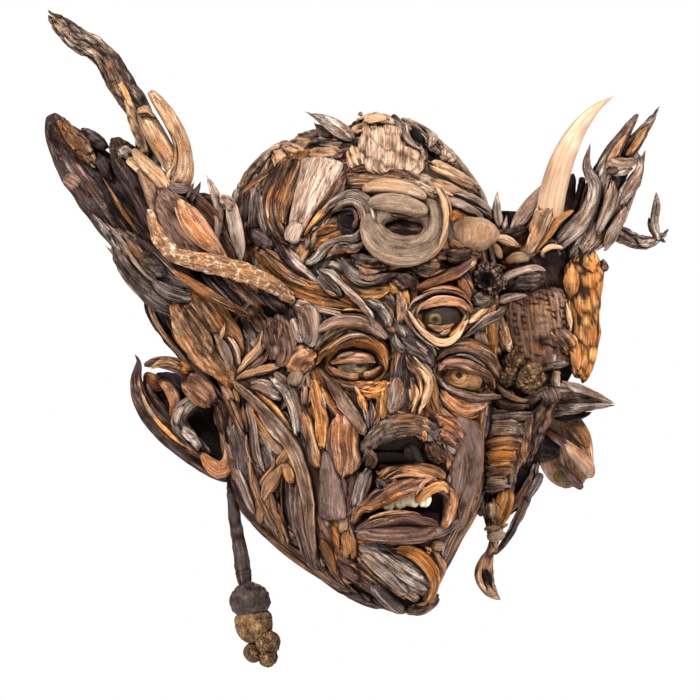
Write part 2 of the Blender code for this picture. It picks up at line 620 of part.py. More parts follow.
def right_cluster():
    stick("antler_tine", "antler_ivory", ((613, 97, 150, 3, 3), (593, 111, 151, 14, 13),
          (575, 133, 151, 20, 18), (561, 160, 148, 24, 21), (553, 190, 142, 25, 22), (546, 220, 134, 26, 22),
          (532, 250, 124, 22, 20)), ends=(3, 3), rough=0.0, rings=9)
    stick("tine_bark", "checkered_bark", ((552, 192, 122, 26, 14), (542, 218, 118, 38, 16),
          (526, 242, 112, 38, 16), (498, 262, 104, 28, 14)), corner=3, ends=(4, 4))
    prongs = [
        ((640, 110, 122, 3, 3), (624, 132, 122, 12, 10), (609, 157, 122, 16, 13), (602, 192, 122, 22, 18),
         (592, 230, 120, 28, 22), (572, 262, 112, 24, 20)),
        ((662, 103, 112, 3, 3), (646, 133, 116, 11, 10), (626, 160, 118, 15, 13), (608, 196, 120, 18, 16),
         (594, 228, 120, 18, 16)),
        ((648, 146, 128, 3, 3), (634, 180, 128, 10, 9), (622, 202, 126, 15, 12), (602, 228, 122, 20, 16),
         (586, 250, 118, 16, 14)),
    ]
    united("driftwood_prongs", "grey_driftwood",
           [stick_shape(free_rows(limb), ends=(2, 3), rings=9) for limb in prongs])
    stick("grey_root", "grey_driftwood", ((590, 142, 132, 6, 6), (586, 166, 133, 13, 11),
          (594, 188, 134, 15, 13), (586, 214, 132, 18, 15), (566, 236, 128, 19, 16), (544, 254, 122, 16, 14)),
          ends=(2, 3))
    stick("side_twig", "grey_driftwood", ((600, 226, 112, 13, 12), (620, 234, 110, 13, 12),
          (642, 243, 106, 11, 10), (660, 238, 102, 8, 8), (671, 227, 100, 3, 3)), ends=(3, 2))
    stick("checkered_plate", "checkered_bark", ((533, 288, 122, 62, 15), (536, 314, 123, 68, 16),
          (541, 342, 123, 66, 16), (546, 372, 120, 54, 14)), ends=(7, 7), corner=4)
    stick("orange_slab", "orange_heartwood", ((585, 232, 120, 24, 12), (582, 260, 120, 42, 15),
          (582, 300, 120, 34, 15), (583, 338, 118, 22, 13), (581, 382, 116, 9, 8)), ends=(5, 2), corner=3)
    stick("side_backing", "dark_weathered", ((466, 226, 98, 44, 22), (520, 242, 102, 62, 26),
          (550, 276, 104, 84, 26), (548, 330, 104, 84, 26), (520, 384, 100, 66, 26), (470, 430, 92, 34, 20)),
          corner=3, ends=(4, 4), rings=10)
    lumps = [ball_shape(place(a, d, o), (r * UNIT, r * UNIT, r * UNIT * 0.9), 7, 5, 0.2)
             for a, d, o, r in ((511, 360, 138, 13), (506, 375, 139, 13), (530, 378, 136, 17))]
    united("seed_lumps", "seed_cap", lumps)
    stick("pointed_shard", "grey_driftwood", ((618, 404, 118, 2, 2), (596, 402, 118, 20, 12),
          (572, 400, 117, 34, 16), (548, 402, 114, 36, 16), (518, 408, 108, 22, 14)), ends=(2, 3), corner=3)
    stick("bark_column", "rough_bark", ((504, 386, 134, 26, 20), (503, 412, 136, 36, 28),
          (501, 446, 134, 40, 30), (498, 480, 128, 38, 28), (493, 512, 118, 28, 20), (491, 544, 110, 12, 10)),
          ends=(4, 3), corner=3, rough=0.16, rings=9)
    stick("column_knot", "rough_bark", ((556, 388, 122, 14, 12), (543, 412, 124, 22, 20),
          (531, 438, 122, 20, 18), (526, 468, 114, 12, 12)), rough=0.16)
    stick("ear_slab_right", "smooth_tan", ((560, 416, 92, 42, 10), (564, 442, 92, 56, 12),
          (572, 468, 90, 46, 11), (580, 492, 88, 20, 9)), curl=0.12, corner=3, ends=(5, 4))
    stick("ear_root_right", "dark_weathered", ((468, 440, 104, 26, 18), (502, 444, 100, 34, 18),
          (530, 448, 96, 32, 16), (562, 452, 94, 26, 12)), corner=3)
    stick("hanging_stick", "grey_driftwood", ((537, 460, 114, 12, 10), (523, 508, 111, 10, 9),
          (506, 540, 109, 9, 8), (494, 556, 108, 8, 8)), ends=(3, 3))
    stick("right_pendant", "smooth_tan", ((492, 541, 109, 12, 9), (488, 560, 109, 20, 12),
          (488, 580, 109, 24, 14), (498, 602, 109, 15, 9)), ends=(3, 4))


clear_scene()
make_head()
eyes()
nose_and_mouth()
cheeks()
skull()
left_cluster()
left_ear()
right_cluster()
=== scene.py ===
# The finish of a wall-hung face built up from driftwood, bark, roots, a tine and seed pods
import math
from itertools import product

import bmesh
import bpy
import numpy as np
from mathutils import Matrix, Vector
from mathutils.bvhtree import BVHTree


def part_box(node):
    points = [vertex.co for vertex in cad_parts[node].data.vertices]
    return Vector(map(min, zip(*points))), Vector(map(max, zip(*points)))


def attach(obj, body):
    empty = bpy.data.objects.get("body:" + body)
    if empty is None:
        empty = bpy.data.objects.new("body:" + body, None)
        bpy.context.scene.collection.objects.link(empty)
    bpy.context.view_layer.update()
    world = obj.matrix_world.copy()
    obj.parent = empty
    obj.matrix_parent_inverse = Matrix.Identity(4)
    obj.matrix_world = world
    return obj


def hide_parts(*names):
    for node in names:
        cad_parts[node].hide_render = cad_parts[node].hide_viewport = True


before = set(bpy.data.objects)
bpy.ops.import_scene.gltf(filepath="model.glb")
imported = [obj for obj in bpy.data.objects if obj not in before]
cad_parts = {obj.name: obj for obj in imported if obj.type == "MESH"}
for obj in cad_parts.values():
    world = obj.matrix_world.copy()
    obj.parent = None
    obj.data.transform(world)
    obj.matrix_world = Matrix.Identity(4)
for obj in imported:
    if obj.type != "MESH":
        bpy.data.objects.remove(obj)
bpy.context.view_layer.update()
bpy.ops.object.select_all(action="DESELECT")

headLow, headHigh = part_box("head_form")
sheet = {  # the front view that every path is drawn on: across to the right, down, and out of the wall
    "headHeight": 490,
    "middle": 385,
    "level": 350,
}
forehead = {"depth": 0.134, "out": 206}  # how far its middle stands out: in metres, and on the sheet
unit = (headHigh.z - headLow.z) / sheet["headHeight"]
deepUnit = forehead["depth"] / forehead["out"]
mm = 0.001
seat = 0.002  # how deep a glued strip is let into the head
rng = np.random.default_rng(7)
madePieces = []


def place(across, down, out):
    return np.stack(np.broadcast_arrays(
        (across - sheet["middle"]) * unit, -out * deepUnit, (sheet["level"] - down) * unit), axis=-1)


# Noise that every carving below is made with

hashPrimes = (73856093, 19349663, 83492791)
seedPrime, mixPrime = 2654435761, 1274126177
hashTop = 65535


def scatter(corners, seed, offset):  # an even draw from 0 to 1 for each corner of the lattice
    code = seed * seedPrime + offset
    for column, prime in zip(corners.T, hashPrimes):
        code = code ^ (column * prime)
    code = (code ^ (code >> 13)) * mixPrime
    return ((code ^ (code >> 16)) & hashTop) / hashTop


def smoothNoise(points, seed=0):
    cell = np.floor(points).astype(np.int64)
    part = points - cell
    part = part * part * part * (part * (part * 6 - 15) + 10)
    total = np.zeros(len(points))
    for corner in product((0, 1), repeat=3):
        weight = np.prod(np.where(corner, part, 1 - part), axis=1)
        total += (2 * scatter(cell + np.array(corner), seed, 97) - 1) * weight
    return total


def layeredNoise(points, octaves=3, seed=0):
    total, strength = 0, 1
    for octave in range(octaves):
        total = total + strength * smoothNoise(points * 2 ** octave, seed + octave)
        strength *= 0.5
    return total


def cellNoise(points, seed=0):
    cell = np.floor(points).astype(np.int64)
    nearest = np.full(len(points), 9.0)
    second = np.full(len(points), 9.0)
    for corner in product((-1, 0, 1), repeat=3):
        spot = cell + np.array(corner)
        jitter = [scatter(spot, seed + turn * 31, 5) for turn in range(3)]
        gap = np.linalg.norm(spot + np.stack(jitter, axis=1) - points, axis=1)
        second = np.minimum(second, np.maximum(nearest, gap))
        nearest = np.minimum(nearest, gap)
    return nearest, second


# Curves through listed points

def smoothRows(rows, steps=14):
    rows = np.array(rows, dtype=float)
    if len(rows) == 2:
        share = np.linspace(0, 1, steps + 1)[:, None]
        return rows[0] * (1 - share) + rows[1] * share
    padded = np.vstack([2 * rows[0] - rows[1], rows, 2 * rows[-1] - rows[-2]])
    t = (np.arange(steps) / steps)[:, None]
    spans = []
    for a, b, c, d in zip(padded, padded[1:], padded[2:], padded[3:]):
        spans.append(0.5 * (2 * b + (c - a) * t + (2 * a - 5 * b + 4 * c - d) * t ** 2
                            + (3 * b - a - 3 * c + d) * t ** 3))
    return np.vstack([*spans, rows[-1:]])


def rowsAt(rows, shares):
    dense = smoothRows(rows)
    length = np.concatenate([[0], np.cumsum(np.linalg.norm(np.diff(dense[:, :3], axis=0), axis=1))])
    at = np.array(shares) * length[-1]
    return np.stack([np.interp(at, length, column) for column in dense.T], axis=1), length[-1]


# The head's own surface, the same carving as the frame's head_form

headLevels = (  # down, middle, half-width, front
    (122, 366, 0, 108), (128, 366, 32, 118), (142, 362, 62, 138), (168, 358, 95, 164),
    (200, 358, 117, 186), (232, 361, 128, 198), (290, 360, 135, 206), (330, 360, 139, 208),
    (400, 356, 137, 206), (440, 355, 131, 208), (500, 359, 119, 212), (540, 366, 90, 212),
    (572, 379, 61, 206), (596, 392, 38, 190), (607, 403, 18, 172), (612, 407, 0, 160),
)
headForm = {
    "sideOut": 88,  # how far the widest line round the head stands out of the wall
    "backTaper": 0.17,
    "backReach": 2.2,
    "widest": 139,
    "faceTurn": 0.027,  # how far the face is turned aside, in metres
    "frontPower": 0.8,  # how soon the front curves away to the sides
    "carvedPower": 0.5,  # and how soon its carving fades out there
    "crowd": 0.3,  # how much closer the mesh is in front than behind
}
headRelief = {  # across, down, spread across, spread down, amount
    "socketLeft": (357, 366, 34, 22, -20), "socketRight": (459, 378, 28, 20, -18),
    "socketMiddle": (437, 320, 26, 17, -7), "browLeft": (350, 328, 46, 14, 12),
    "browRight": (470, 340, 30, 14, 10), "noseBridge": (405, 388, 15, 38, 20),
    "noseTip": (400, 436, 24, 19, 40), "noseWingLeft": (378, 444, 13, 12, 12),
    "noseWingRight": (438, 438, 15, 14, 16), "nostril": (395, 459, 15, 7, -18),
    "muzzle": (405, 490, 44, 24, 14), "mouth": (409, 504, 27, 9, -28),
    "lowerLip": (398, 527, 34, 12, 8), "lipDip": (396, 546, 30, 9, -8),
    "chin": (400, 577, 34, 24, 16), "cheekLeft": (310, 430, 44, 40, 12),
    "cheekRight": (468, 430, 22, 36, 8), "templeLeft": (262, 330, 26, 40, -8),
    "eyePouchLeft": (352, 396, 34, 10, 8), "crownHollow": (330, 190, 50, 26, -6),
}
levelCurve = smoothRows([(row[0], row[1], row[2] ** 2, row[3]) for row in headLevels], 16)


def headSurface(turn, level):
    middle = np.interp(level, levelCurve[:, 0], levelCurve[:, 1])
    half = np.sqrt(np.maximum(np.interp(level, levelCurve[:, 0], levelCurve[:, 2]), 0))
    front = np.interp(level, levelCurve[:, 0], levelCurve[:, 3])
    sideOut, widest = headForm["sideOut"], headForm["widest"]
    across = middle + half * np.sin(turn)
    facing = np.cos(turn)
    ahead = np.maximum(facing, 0)
    carved = 0
    shifted = across + headForm["faceTurn"] / unit * ahead ** 2 * half / widest
    for x, y, wide, tall, amount in headRelief.values():
        carved = carved + amount * np.exp(-((shifted - x) / wide) ** 2 / 2 - ((level - y) / tall) ** 2 / 2)
    outFront = sideOut + (front - sideOut) * ahead ** headForm["frontPower"]
    outFront = outFront + carved * ahead ** headForm["carvedPower"]
    outBack = sideOut + headForm["backReach"] * sideOut * np.minimum(facing, 0) * half / widest
    drawIn = 1 - headForm["backTaper"] * (1 - outBack / sideOut) ** 2
    centre = (headLevels[0][0] + headLevels[-1][0]) / 2
    behind = facing <= 0
    return place(
        np.where(behind, middle + (across - middle) * drawIn, shifted),
        np.where(behind, centre + (level - centre) * drawIn, level),
        np.where(behind, outBack, outFront),
    )


def placesOf(piece):
    co = np.empty(len(piece.data.vertices) * 3, dtype=np.float32)
    piece.data.vertices.foreach_get("co", co)
    return co.reshape(-1, 3).astype(float)


def setPlaces(piece, places):
    piece.data.vertices.foreach_set("co", np.ascontiguousarray(places, dtype=np.float32).ravel())
    piece.data.update()


def paint(piece, name, values):
    kind = "FLOAT_VECTOR" if values.ndim == 2 else "FLOAT"
    layer = piece.data.attributes.new(name, kind, "POINT")
    flat = np.ascontiguousarray(values, dtype=np.float32).ravel()
    layer.data.foreach_set("vector" if values.ndim == 2 else "value", flat)


def painted(piece, name):
    values = np.empty(len(piece.data.vertices), dtype=np.float32)
    piece.data.attributes[name].data.foreach_get("value", values)
    return values


def repaint(piece, name, values):
    piece.data.attributes[name].data.foreach_set("value", np.asarray(values, dtype=np.float32))


def headMesh(around, rings):
    bpy.ops.mesh.primitive_uv_sphere_add(segments=around, ring_count=rings, radius=1)
    head = bpy.context.object
    ball = placesOf(head)
    top, bottom = headLevels[0][0], headLevels[-1][0]
    level = (top + bottom) / 2 - (bottom - top) / 2 * np.clip(ball[:, 2], -1, 1)
    turn = np.arctan2(ball[:, 0], -ball[:, 1])
    turn = turn - headForm["crowd"] * np.sin(turn)
    setPlaces(head, headSurface(turn, level))
    return head


guide = headMesh(around=220, rings=180)
guideShape = bmesh.new()
guideShape.from_mesh(guide.data)
headTree = BVHTree.FromBMesh(guideShape)
guideShape.free()
bpy.data.objects.remove(guide, do_unlink=True)
print("head surface ready")


def nearestOnHead(points):
    spots = np.empty_like(points)
    normals = np.empty_like(points)
    for number, point in enumerate(points):
        spot, normal = headTree.find_nearest(Vector(point))[:2]
        spots[number], normals[number] = spot, normal
    return spots, normals


def onHead(across, down):
    hit = headTree.ray_cast(Vector(place(across, down, 400)), Vector((0, 1, 0)))
    if hit[0] is None:
        hit = headTree.find_nearest(Vector(place(across, down, headForm["sideOut"])))
    return np.array(hit[0]), np.array(hit[1])


# Shader maths: an expression on signals adds its Math nodes

class Signal:
    def __init__(self, tree, socket):
        self.tree = tree
        self.socket = socket

    def math(self, operation, other, swapped=False):
        node = self.tree.nodes.new("ShaderNodeMath")
        node.operation = operation
        pair = (other, self) if swapped else (self, other)
        for slot, item in zip(node.inputs, pair):
            if isinstance(item, Signal):
                self.tree.links.new(item.socket, slot)
            else:
                slot.default_value = item
        return Signal(self.tree, node.outputs[0])

    def __add__(self, other):
        return self.math("ADD", other)

    def __sub__(self, other):
        return self.math("SUBTRACT", other)

    def __rsub__(self, other):
        return self.math("SUBTRACT", other, True)

    def __mul__(self, other):
        return self.math("MULTIPLY", other)

    def atLeast(self, other):
        return self.math("MAXIMUM", other)

    def atMost(self, other):
        return self.math("MINIMUM", other)

    def step(self, low, high):
        return ((self - low) * (1 / (high - low))).atLeast(0).atMost(1)


class FinishMaker:
    def __init__(self, owner):
        self.owner = owner
        owner.use_nodes = True
        self.tree = owner.node_tree
        self.tree.nodes.clear()

    def node(self, kind, settings=None, values=None):
        made = self.tree.nodes.new(kind)
        for key, value in (settings or {}).items():
            if key == "stops":
                self.setStops(made.color_ramp, value)
            else:
                setattr(made, key, value)
        for key, value in (values or {}).items():
            value = value.socket if isinstance(value, Signal) else value
            if isinstance(value, bpy.types.NodeSocket):
                self.tree.links.new(value, made.inputs[key])
            else:
                made.inputs[key].default_value = value
        return made

    def setStops(self, ramp, stops):
        while len(ramp.elements) > 1:
            ramp.elements.remove(ramp.elements[0])
        ramp.elements[0].position, ramp.elements[0].color = stops[0]
        for position, colour in stops[1:]:
            ramp.elements.new(position).color = colour

    def grain(self):
        return self.node("ShaderNodeAttribute", {"attribute_name": "grain"}).outputs["Vector"]

    def spot(self):
        return self.node("ShaderNodeTexCoord").outputs["Object"]

    def attribute(self, name):
        made = self.node("ShaderNodeAttribute", {"attribute_name": name})
        return Signal(self.tree, made.outputs["Fac"])

    def noise(self, vector, scale, detail=3.0, roughness=0.55, distortion=0.0):
        made = self.node("ShaderNodeTexNoise", None, {
            "Vector": vector, "Scale": scale, "Detail": detail, "Roughness": roughness,
            "Distortion": distortion})
        return Signal(self.tree, made.outputs["Fac"])

    def scaled(self, vector, scale):
        return self.node("ShaderNodeMapping", None, {"Vector": vector, "Scale": scale}).outputs["Vector"]

    def mix(self, share, first, second):  # by number, as the names of its sockets occur several times
        made = self.node("ShaderNodeMix", {"data_type": "RGBA"}, {0: share, 6: first, 7: second})
        return made.outputs[2]

    def ramp(self, signal, stops):
        return self.node("ShaderNodeValToRGB", {"stops": stops}, {"Fac": signal}).outputs["Color"]

    def surface(self, colour, roughness, height=None, depth=0.0004, **constants):
        values = {"Base Color": colour, "Roughness": roughness}
        if height is not None:
            bump = self.node("ShaderNodeBump", None, {
                "Height": height, "Strength": 1.0, "Distance": depth})
            values["Normal"] = bump.outputs["Normal"]
        shader = self.node("ShaderNodeBsdfPrincipled", None, values)
        for key, value in constants.items():
            shader.inputs[key.replace("_", " ")].default_value = value
        self.node("ShaderNodeOutputMaterial", None, {"Surface": shader.outputs["BSDF"]})
        return self.owner


def tone(red, green, blue):
    def straight(part):
        part = part / 255
        return part / 12.92 if part <= 0.04045 else ((part + 0.055) / 1.055) ** 2.4
    return (straight(red), straight(green), straight(blue), 1)


# near black: the dark split lines of the grain, and painted shade in grooves, hollows and gaps
darkGrainAndShade = tone(16, 10, 8)

woodLooks = {  # tones from dark to light, a warm and a cool accent in patches, and the dry grey of worn ridges
    "grey_driftwood": {"tones": ((36, 28, 24), (90, 74, 65), (134, 116, 103), (196, 179, 163)),
                       "warm": (132, 82, 48), "cool": (104, 90, 92), "shares": (0.45, 0.35),
                       "worn": (206, 193, 180), "wornShare": 0.35, "gloss": 0.05,
                       "grain": 0.85, "roughness": 0.8},
    "brown_strip": {"tones": ((26, 17, 12), (74, 51, 36), (120, 86, 60), (186, 144, 108)),
                    "warm": (156, 92, 38), "cool": (94, 76, 78), "shares": (0.5, 0.45),
                    "worn": (186, 160, 138), "wornShare": 0.35, "gloss": 0.05,
                    "grain": 0.95, "roughness": 0.74},
    "orange_heartwood": {"tones": ((48, 28, 14), (120, 72, 32), (168, 110, 56), (218, 166, 110)),
                         "warm": (180, 100, 38), "cool": (96, 74, 60), "shares": (0.45, 0.5),
                         "worn": (228, 198, 156), "wornShare": 0.3, "gloss": 0.06,
                         "grain": 0.65, "roughness": 0.68},
    "dark_weathered": {"tones": ((18, 12, 10), (48, 35, 30), (80, 62, 54), (132, 110, 98)),
                       "warm": (104, 58, 32), "cool": (72, 62, 68), "shares": (0.4, 0.5),
                       "worn": (150, 134, 124), "wornShare": 0.35, "gloss": 0.05,
                       "grain": 0.8, "roughness": 0.78},
    "smooth_tan": {"tones": ((54, 37, 26), (118, 86, 61), (156, 119, 88), (212, 176, 140)),
                   "warm": (164, 104, 54), "cool": (122, 102, 98), "shares": (0.4, 0.45),
                   "worn": (208, 182, 156), "wornShare": 0.22, "gloss": 0.12,
                   "grain": 0.62, "roughness": 0.52},
    "smooth_stone_grey": {"tones": ((50, 39, 32), (104, 84, 66), (130, 107, 85), (168, 144, 120)),
                          "warm": (148, 100, 62), "cool": (104, 90, 82), "shares": (0.45, 0.2),
                          "worn": (190, 176, 160), "wornShare": 0.15, "gloss": 0.1,
                          "grain": 0.38, "roughness": 0.5},
    "rough_bark": {"tones": ((24, 17, 13), (70, 54, 45), (112, 92, 79), (196, 174, 154)),
                   "warm": (140, 92, 50), "cool": (92, 80, 80), "shares": (0.45, 0.4),
                   "worn": (206, 190, 174), "wornShare": 0.35, "gloss": 0.04,
                   "grain": 0.6, "roughness": 0.88},
    "checkered_bark": {"tones": ((30, 19, 14), (84, 57, 40), (122, 88, 64), (162, 126, 98)),
                       "warm": (134, 86, 50), "cool": (104, 88, 82), "shares": (0.4, 0.35),
                       "worn": (176, 150, 128), "wornShare": 0.25, "gloss": 0.05,
                       "grain": 0.35, "roughness": 0.84},
    "lip_wood": {"tones": ((34, 20, 14), (92, 58, 40), (138, 94, 66), (200, 156, 124)),
                 "warm": (160, 92, 36), "cool": (104, 78, 78), "shares": (0.45, 0.45),
                 "worn": (210, 172, 136), "wornShare": 0.2, "gloss": 0.1,
                 "grain": 0.65, "roughness": 0.48},
}


def woodFinish(name, look):
    make = FinishMaker(bpy.data.materials.new(name))
    grain = make.grain()
    spot = make.spot()
    hollow, tint = make.attribute("hollow"), make.attribute("tint")
    drawn = make.scaled(grain, (1, 1, 0.06))
    band = make.noise(drawn, 170, 3, 0.55, 0.5) - 0.5
    fibre = make.noise(drawn, 520, 4, 0.62, 0.35) - 0.5
    hair = make.noise(drawn, 1350, 4, 0.65, 0.2) - 0.5
    stain = make.noise(spot, 42, 4, 0.6, 0.5)
    damp = make.noise(spot, 63, 4, 0.6, 0.3)
    speck = make.noise(spot, 1400, 2, 0.6) - 0.5
    blotch = make.noise(make.scaled(grain, (1, 1, 0.35)), 230, 4, 0.6, 0.6) - 0.5
    value = ((band * 1.0 + fibre * 2.1 + hair * 2.0) * look["grain"] + speck * 0.9 + blotch * 0.9
             + (tint - 0.5) * 0.75 + (damp - 0.5) * 0.9 + 0.52)
    dark, low, high, pale = (tone(*part) for part in look["tones"])
    colour = make.ramp(value.step(0.0, 1.0), [(0.0, dark), (0.34, low), (0.62, high), (1.0, pale)])
    warm = (stain + (tint - 0.5) * 0.35 + band * 0.6).step(0.5, 0.62)
    colour = make.mix(warm * look["shares"][0], colour, tone(*look["warm"]))
    cool = (damp - (tint - 0.5) * 0.3 - band * 0.5).step(0.52, 0.66)
    colour = make.mix(cool * look["shares"][1], colour, tone(*look["cool"]))
    dry = (make.noise(drawn, 700, 4, 0.7) + fibre * 0.6 - hollow * 0.35).step(0.5, 0.72)
    colour = make.mix(dry * look["wornShare"], colour, tone(*look["worn"]))
    split = (1 - fibre * fibre * 2200).atLeast(0) * (band * 5 + 0.65).atLeast(0).atMost(1)
    thread = (1 - hair * hair * 3000).atLeast(0) * (0.7 - band * 4).atLeast(0).atMost(1)
    colour = make.mix(split * (0.9 * look["grain"]), colour, darkGrainAndShade)
    colour = make.mix(thread * (0.5 * look["grain"]), colour, darkGrainAndShade)
    # painted shade: near black where the hollow attribute marks a groove, a strip's foot, a gap or a shaded
    # piece
    colour = make.mix(hollow.step(0.26, 0.82) * 0.95, colour, darkGrainAndShade)
    height = ((fibre + hair * 0.6 + band * 0.9 - split * 0.4 - thread * 0.15) * look["grain"] + blotch * 0.5
              + speck * 0.3)
    rough = hair * 0.3 + (look["roughness"] + 0.04)
    return make.surface(colour, rough, height, 0.0026, Specular_IOR_Level=look["gloss"])


def lichenFinish(name):
    make = FinishMaker(bpy.data.materials.new(name))
    grain = make.grain()
    spot = make.spot()
    hollow = make.attribute("hollow")
    drawn = make.scaled(grain, (1, 1, 0.2))
    fibre = make.noise(drawn, 900, 5, 0.65, 0.2)
    crust = make.noise(spot, 190, 5, 0.62, 0.5)
    pale = make.noise(spot, 260, 4, 0.65, 0.6)
    colour = make.ramp(fibre.step(0.3, 0.75), [
        (0.0, tone(58, 38, 26)), (0.5, tone(112, 78, 52)), (1.0, tone(166, 128, 94))])
    colour = make.mix(crust.step(0.56, 0.66) * 0.5, colour, tone(176, 112, 58))
    colour = make.mix(pale.step(0.52, 0.64) * 0.5, colour, tone(206, 188, 164))
    # painted shade in its hollows and gaps
    colour = make.mix(hollow.step(0.35, 1.0) * 0.85, colour, darkGrainAndShade)
    return make.surface(colour, fibre * 0.1 + 0.82, crust * 0.8 + pale * 0.6 + fibre * 0.4, 0.0012,
                        Specular_IOR_Level=0.05)


def tineFinish(name):
    make = FinishMaker(bpy.data.materials.new(name))
    grain = make.grain()
    spot = make.spot()
    hollow = make.attribute("hollow")
    drawn = make.scaled(grain, (1, 1, 0.05))
    line = make.noise(drawn, 700, 5, 0.6, 0.1)
    cloud = make.noise(spot, 40, 3, 0.5)
    colour = make.ramp((line * 0.5 + cloud * 0.6).step(0.35, 0.75), [
        (0.0, tone(104, 78, 58)), (0.5, tone(146, 117, 92)), (1.0, tone(176, 150, 126))])
    colour = make.mix(make.noise(drawn, 260, 4, 0.7).step(0.56, 0.7) * 0.5, colour, tone(104, 74, 54))
    # painted shade, darker brown in its hollows and gaps
    colour = make.mix(hollow.step(0.4, 1.0) * 0.6, colour, tone(86, 58, 38))
    return make.surface(colour, line * 0.2 + 0.36, line, 0.0002, Specular_IOR_Level=0.3)


def nutFinish(name):
    make = FinishMaker(bpy.data.materials.new(name))
    spot = make.spot()
    hollow = make.attribute("hollow")
    patch = make.noise(spot, 160, 4, 0.6, 0.3)
    colour = make.ramp(patch.step(0.35, 0.75), [
        (0.0, tone(26, 18, 15)), (0.6, tone(66, 48, 40)), (1.0, tone(116, 92, 76))])
    # painted shade in its pits and gaps
    colour = make.mix(hollow.step(0.3, 1.0) * 0.7, colour, darkGrainAndShade)
    return make.surface(colour, patch * 0.3 + 0.4, make.noise(spot, 600, 4, 0.6), 0.0006,
                        Specular_IOR_Level=0.2)


def seedCapFinish(name):
    make = FinishMaker(bpy.data.materials.new(name))
    spot = make.spot()
    hollow = make.attribute("hollow")
    patch = make.noise(spot, 220, 4, 0.6, 0.3)
    colour = make.ramp(patch.step(0.3, 0.75), [
        (0.0, tone(48, 34, 22)), (0.5, tone(98, 72, 48)), (1.0, tone(150, 118, 82))])
    # painted shade in its pits and gaps
    colour = make.mix(hollow.step(0.3, 0.95) * 0.9, colour, darkGrainAndShade)
    return make.surface(colour, patch * 0.1 + 0.8, make.noise(spot, 900, 4, 0.7), 0.0007,
                        Specular_IOR_Level=0.06)


def toothFinish(name):
    make = FinishMaker(bpy.data.materials.new(name))
    spot = make.spot()
    hollow = make.attribute("hollow")
    cloud = make.noise(spot, 150, 4, 0.6, 0.2)
    colour = make.ramp(cloud.step(0.3, 0.75), [
        (0.0, tone(170, 148, 116)), (0.5, tone(204, 188, 158)), (1.0, tone(226, 216, 194))])
    # painted shade, brown where the teeth sit in hollows and gaps
    colour = make.mix(hollow.step(0.3, 1.0) * 0.8, colour, tone(104, 74, 48))
    return make.surface(colour, cloud * 0.2 + 0.3, cloud, 0.0003)


def eyeFinish(name):
    make = FinishMaker(bpy.data.materials.new(name))
    grain = make.grain()
    hollow, tint = make.attribute("hollow"), make.attribute("tint")
    drawn = make.scaled(grain, (0.12, 1, 1))
    line = make.noise(drawn, 1500, 5, 0.65, 0.4)
    broad = make.noise(drawn, 420, 3, 0.5, 0.3)
    colour = make.ramp((line * 0.6 + broad * 0.5).step(0.32, 0.78), [
        (0.0, tone(26, 20, 13)), (0.5, tone(74, 60, 42)), (1.0, tone(134, 112, 80))])
    colour = make.mix((tint * broad.step(0.3, 0.6)).atMost(1), colour, tone(178, 124, 72))
    # near black for the pupil, and painted shade over a shaded eye and towards its corners
    colour = make.mix(hollow.step(0.2, 0.9) * 0.95, colour, tone(14, 10, 8))
    return make.surface(colour, line * 0.2 + 0.5, line * 0.7 + broad * 0.5, 0.0004, Specular_IOR_Level=0.1)


finishes = {name: woodFinish(name, look) for name, look in woodLooks.items()}
for name, finish in {"lichen_bark": lichenFinish, "antler_ivory": tineFinish, "nut_brown": nutFinish,
                     "seed_cap": seedCapFinish, "tooth_pebble": toothFinish, "eye_wood": eyeFinish}.items():
    finishes[name] = finish(name)
print("finishes ready")


# Growing one piece of wood along a path

plainLook = {
    "ends": (3, 3),  # power of each end: 1.3 is a splinter, 2 is pointed, 4 and over is blunt
    "corner": 2.9,  # 2 is round in section, 4 is squared
    "curl": 0.0, "twist": 0.0,
    "swell": 0.07,  # lumps along the piece
    "bend": 0.0,  # wander of the path, in millimetres
    "ragged": 0.16,  # how uneven the two long edges are
    "lean": 0.3,  # how much thicker one edge may be than the other
    "ply": 4.2, "plyGap": 0.4, "plyStep": 0.4, "plyCut": 0.7,  # splits along the wood, in millimetres
    "groove": 0.5, "grooveSize": 2.2, "grooveRun": 12,  # fibre ridges: depth, spacing, length over spacing
    "lump": 0.0, "lumpSize": 6,  # rough knobs of bark
    "check": 0.0, "checkSize": 4.5,  # square cracks
    "cracks": 0, "crackDepth": 1.4, "crackWidth": 0.8,
    "jag": (1.4, 1.4),  # how torn each end is, in millimetres
    "rings": 0.0, "ringGap": 3,  # raised rings round a twig
    "mesh": 1.2,  # length of a face across the grain, in millimetres
    "over": 0.0,  # how far it lies over its neighbours, in millimetres
    "tint": None,
    "dusk": 0.0,  # how far the whole piece is darkened towards near black: painted shade for one that lies in a hollow, and on some a darker tone
}


meshing = {  # faces round a piece as a share of its girth over one face, and faces along it
    "laid": 0.62, "free": 0.75, "around": (10, 120),
    "stretch": 1.6, "extra": 6, "rings": (12, 200),
}
waves = {"bend": 0.03, "swell": 0.02, "edge": 0.0055, "crack": 0.012}  # length along the piece, in metres


def endShares(along, ends):
    reach = np.abs(2 * along - 1)
    power = np.where(along < 0.5, ends[0], ends[1])
    return np.maximum(1 - reach ** power, 0) ** (1 / power)


def ringShares(count, ends):
    even = np.linspace(0, 1, count + 1)
    crowd = np.where(even < 0.5, ends[0], ends[1])
    crowd = np.clip((crowd - 1) / 3, 0.2, 0.9)
    return np.clip(even - crowd * np.sin(2 * np.pi * even) / (2 * np.pi), 0, 1)


def frameAlong(points, facings, twist, shares):
    tangents = np.gradient(points, axis=0)
    tangents /= np.linalg.norm(tangents, axis=1)[:, None] + 1e-12
    facings = facings - tangents * np.sum(facings * tangents, axis=1)[:, None]
    facings /= np.linalg.norm(facings, axis=1)[:, None] + 1e-12
    turn = (twist * shares)[:, None]
    facings = facings * np.cos(turn) + np.cross(tangents, facings) * np.sin(turn)
    return tangents, facings, np.cross(tangents, facings)


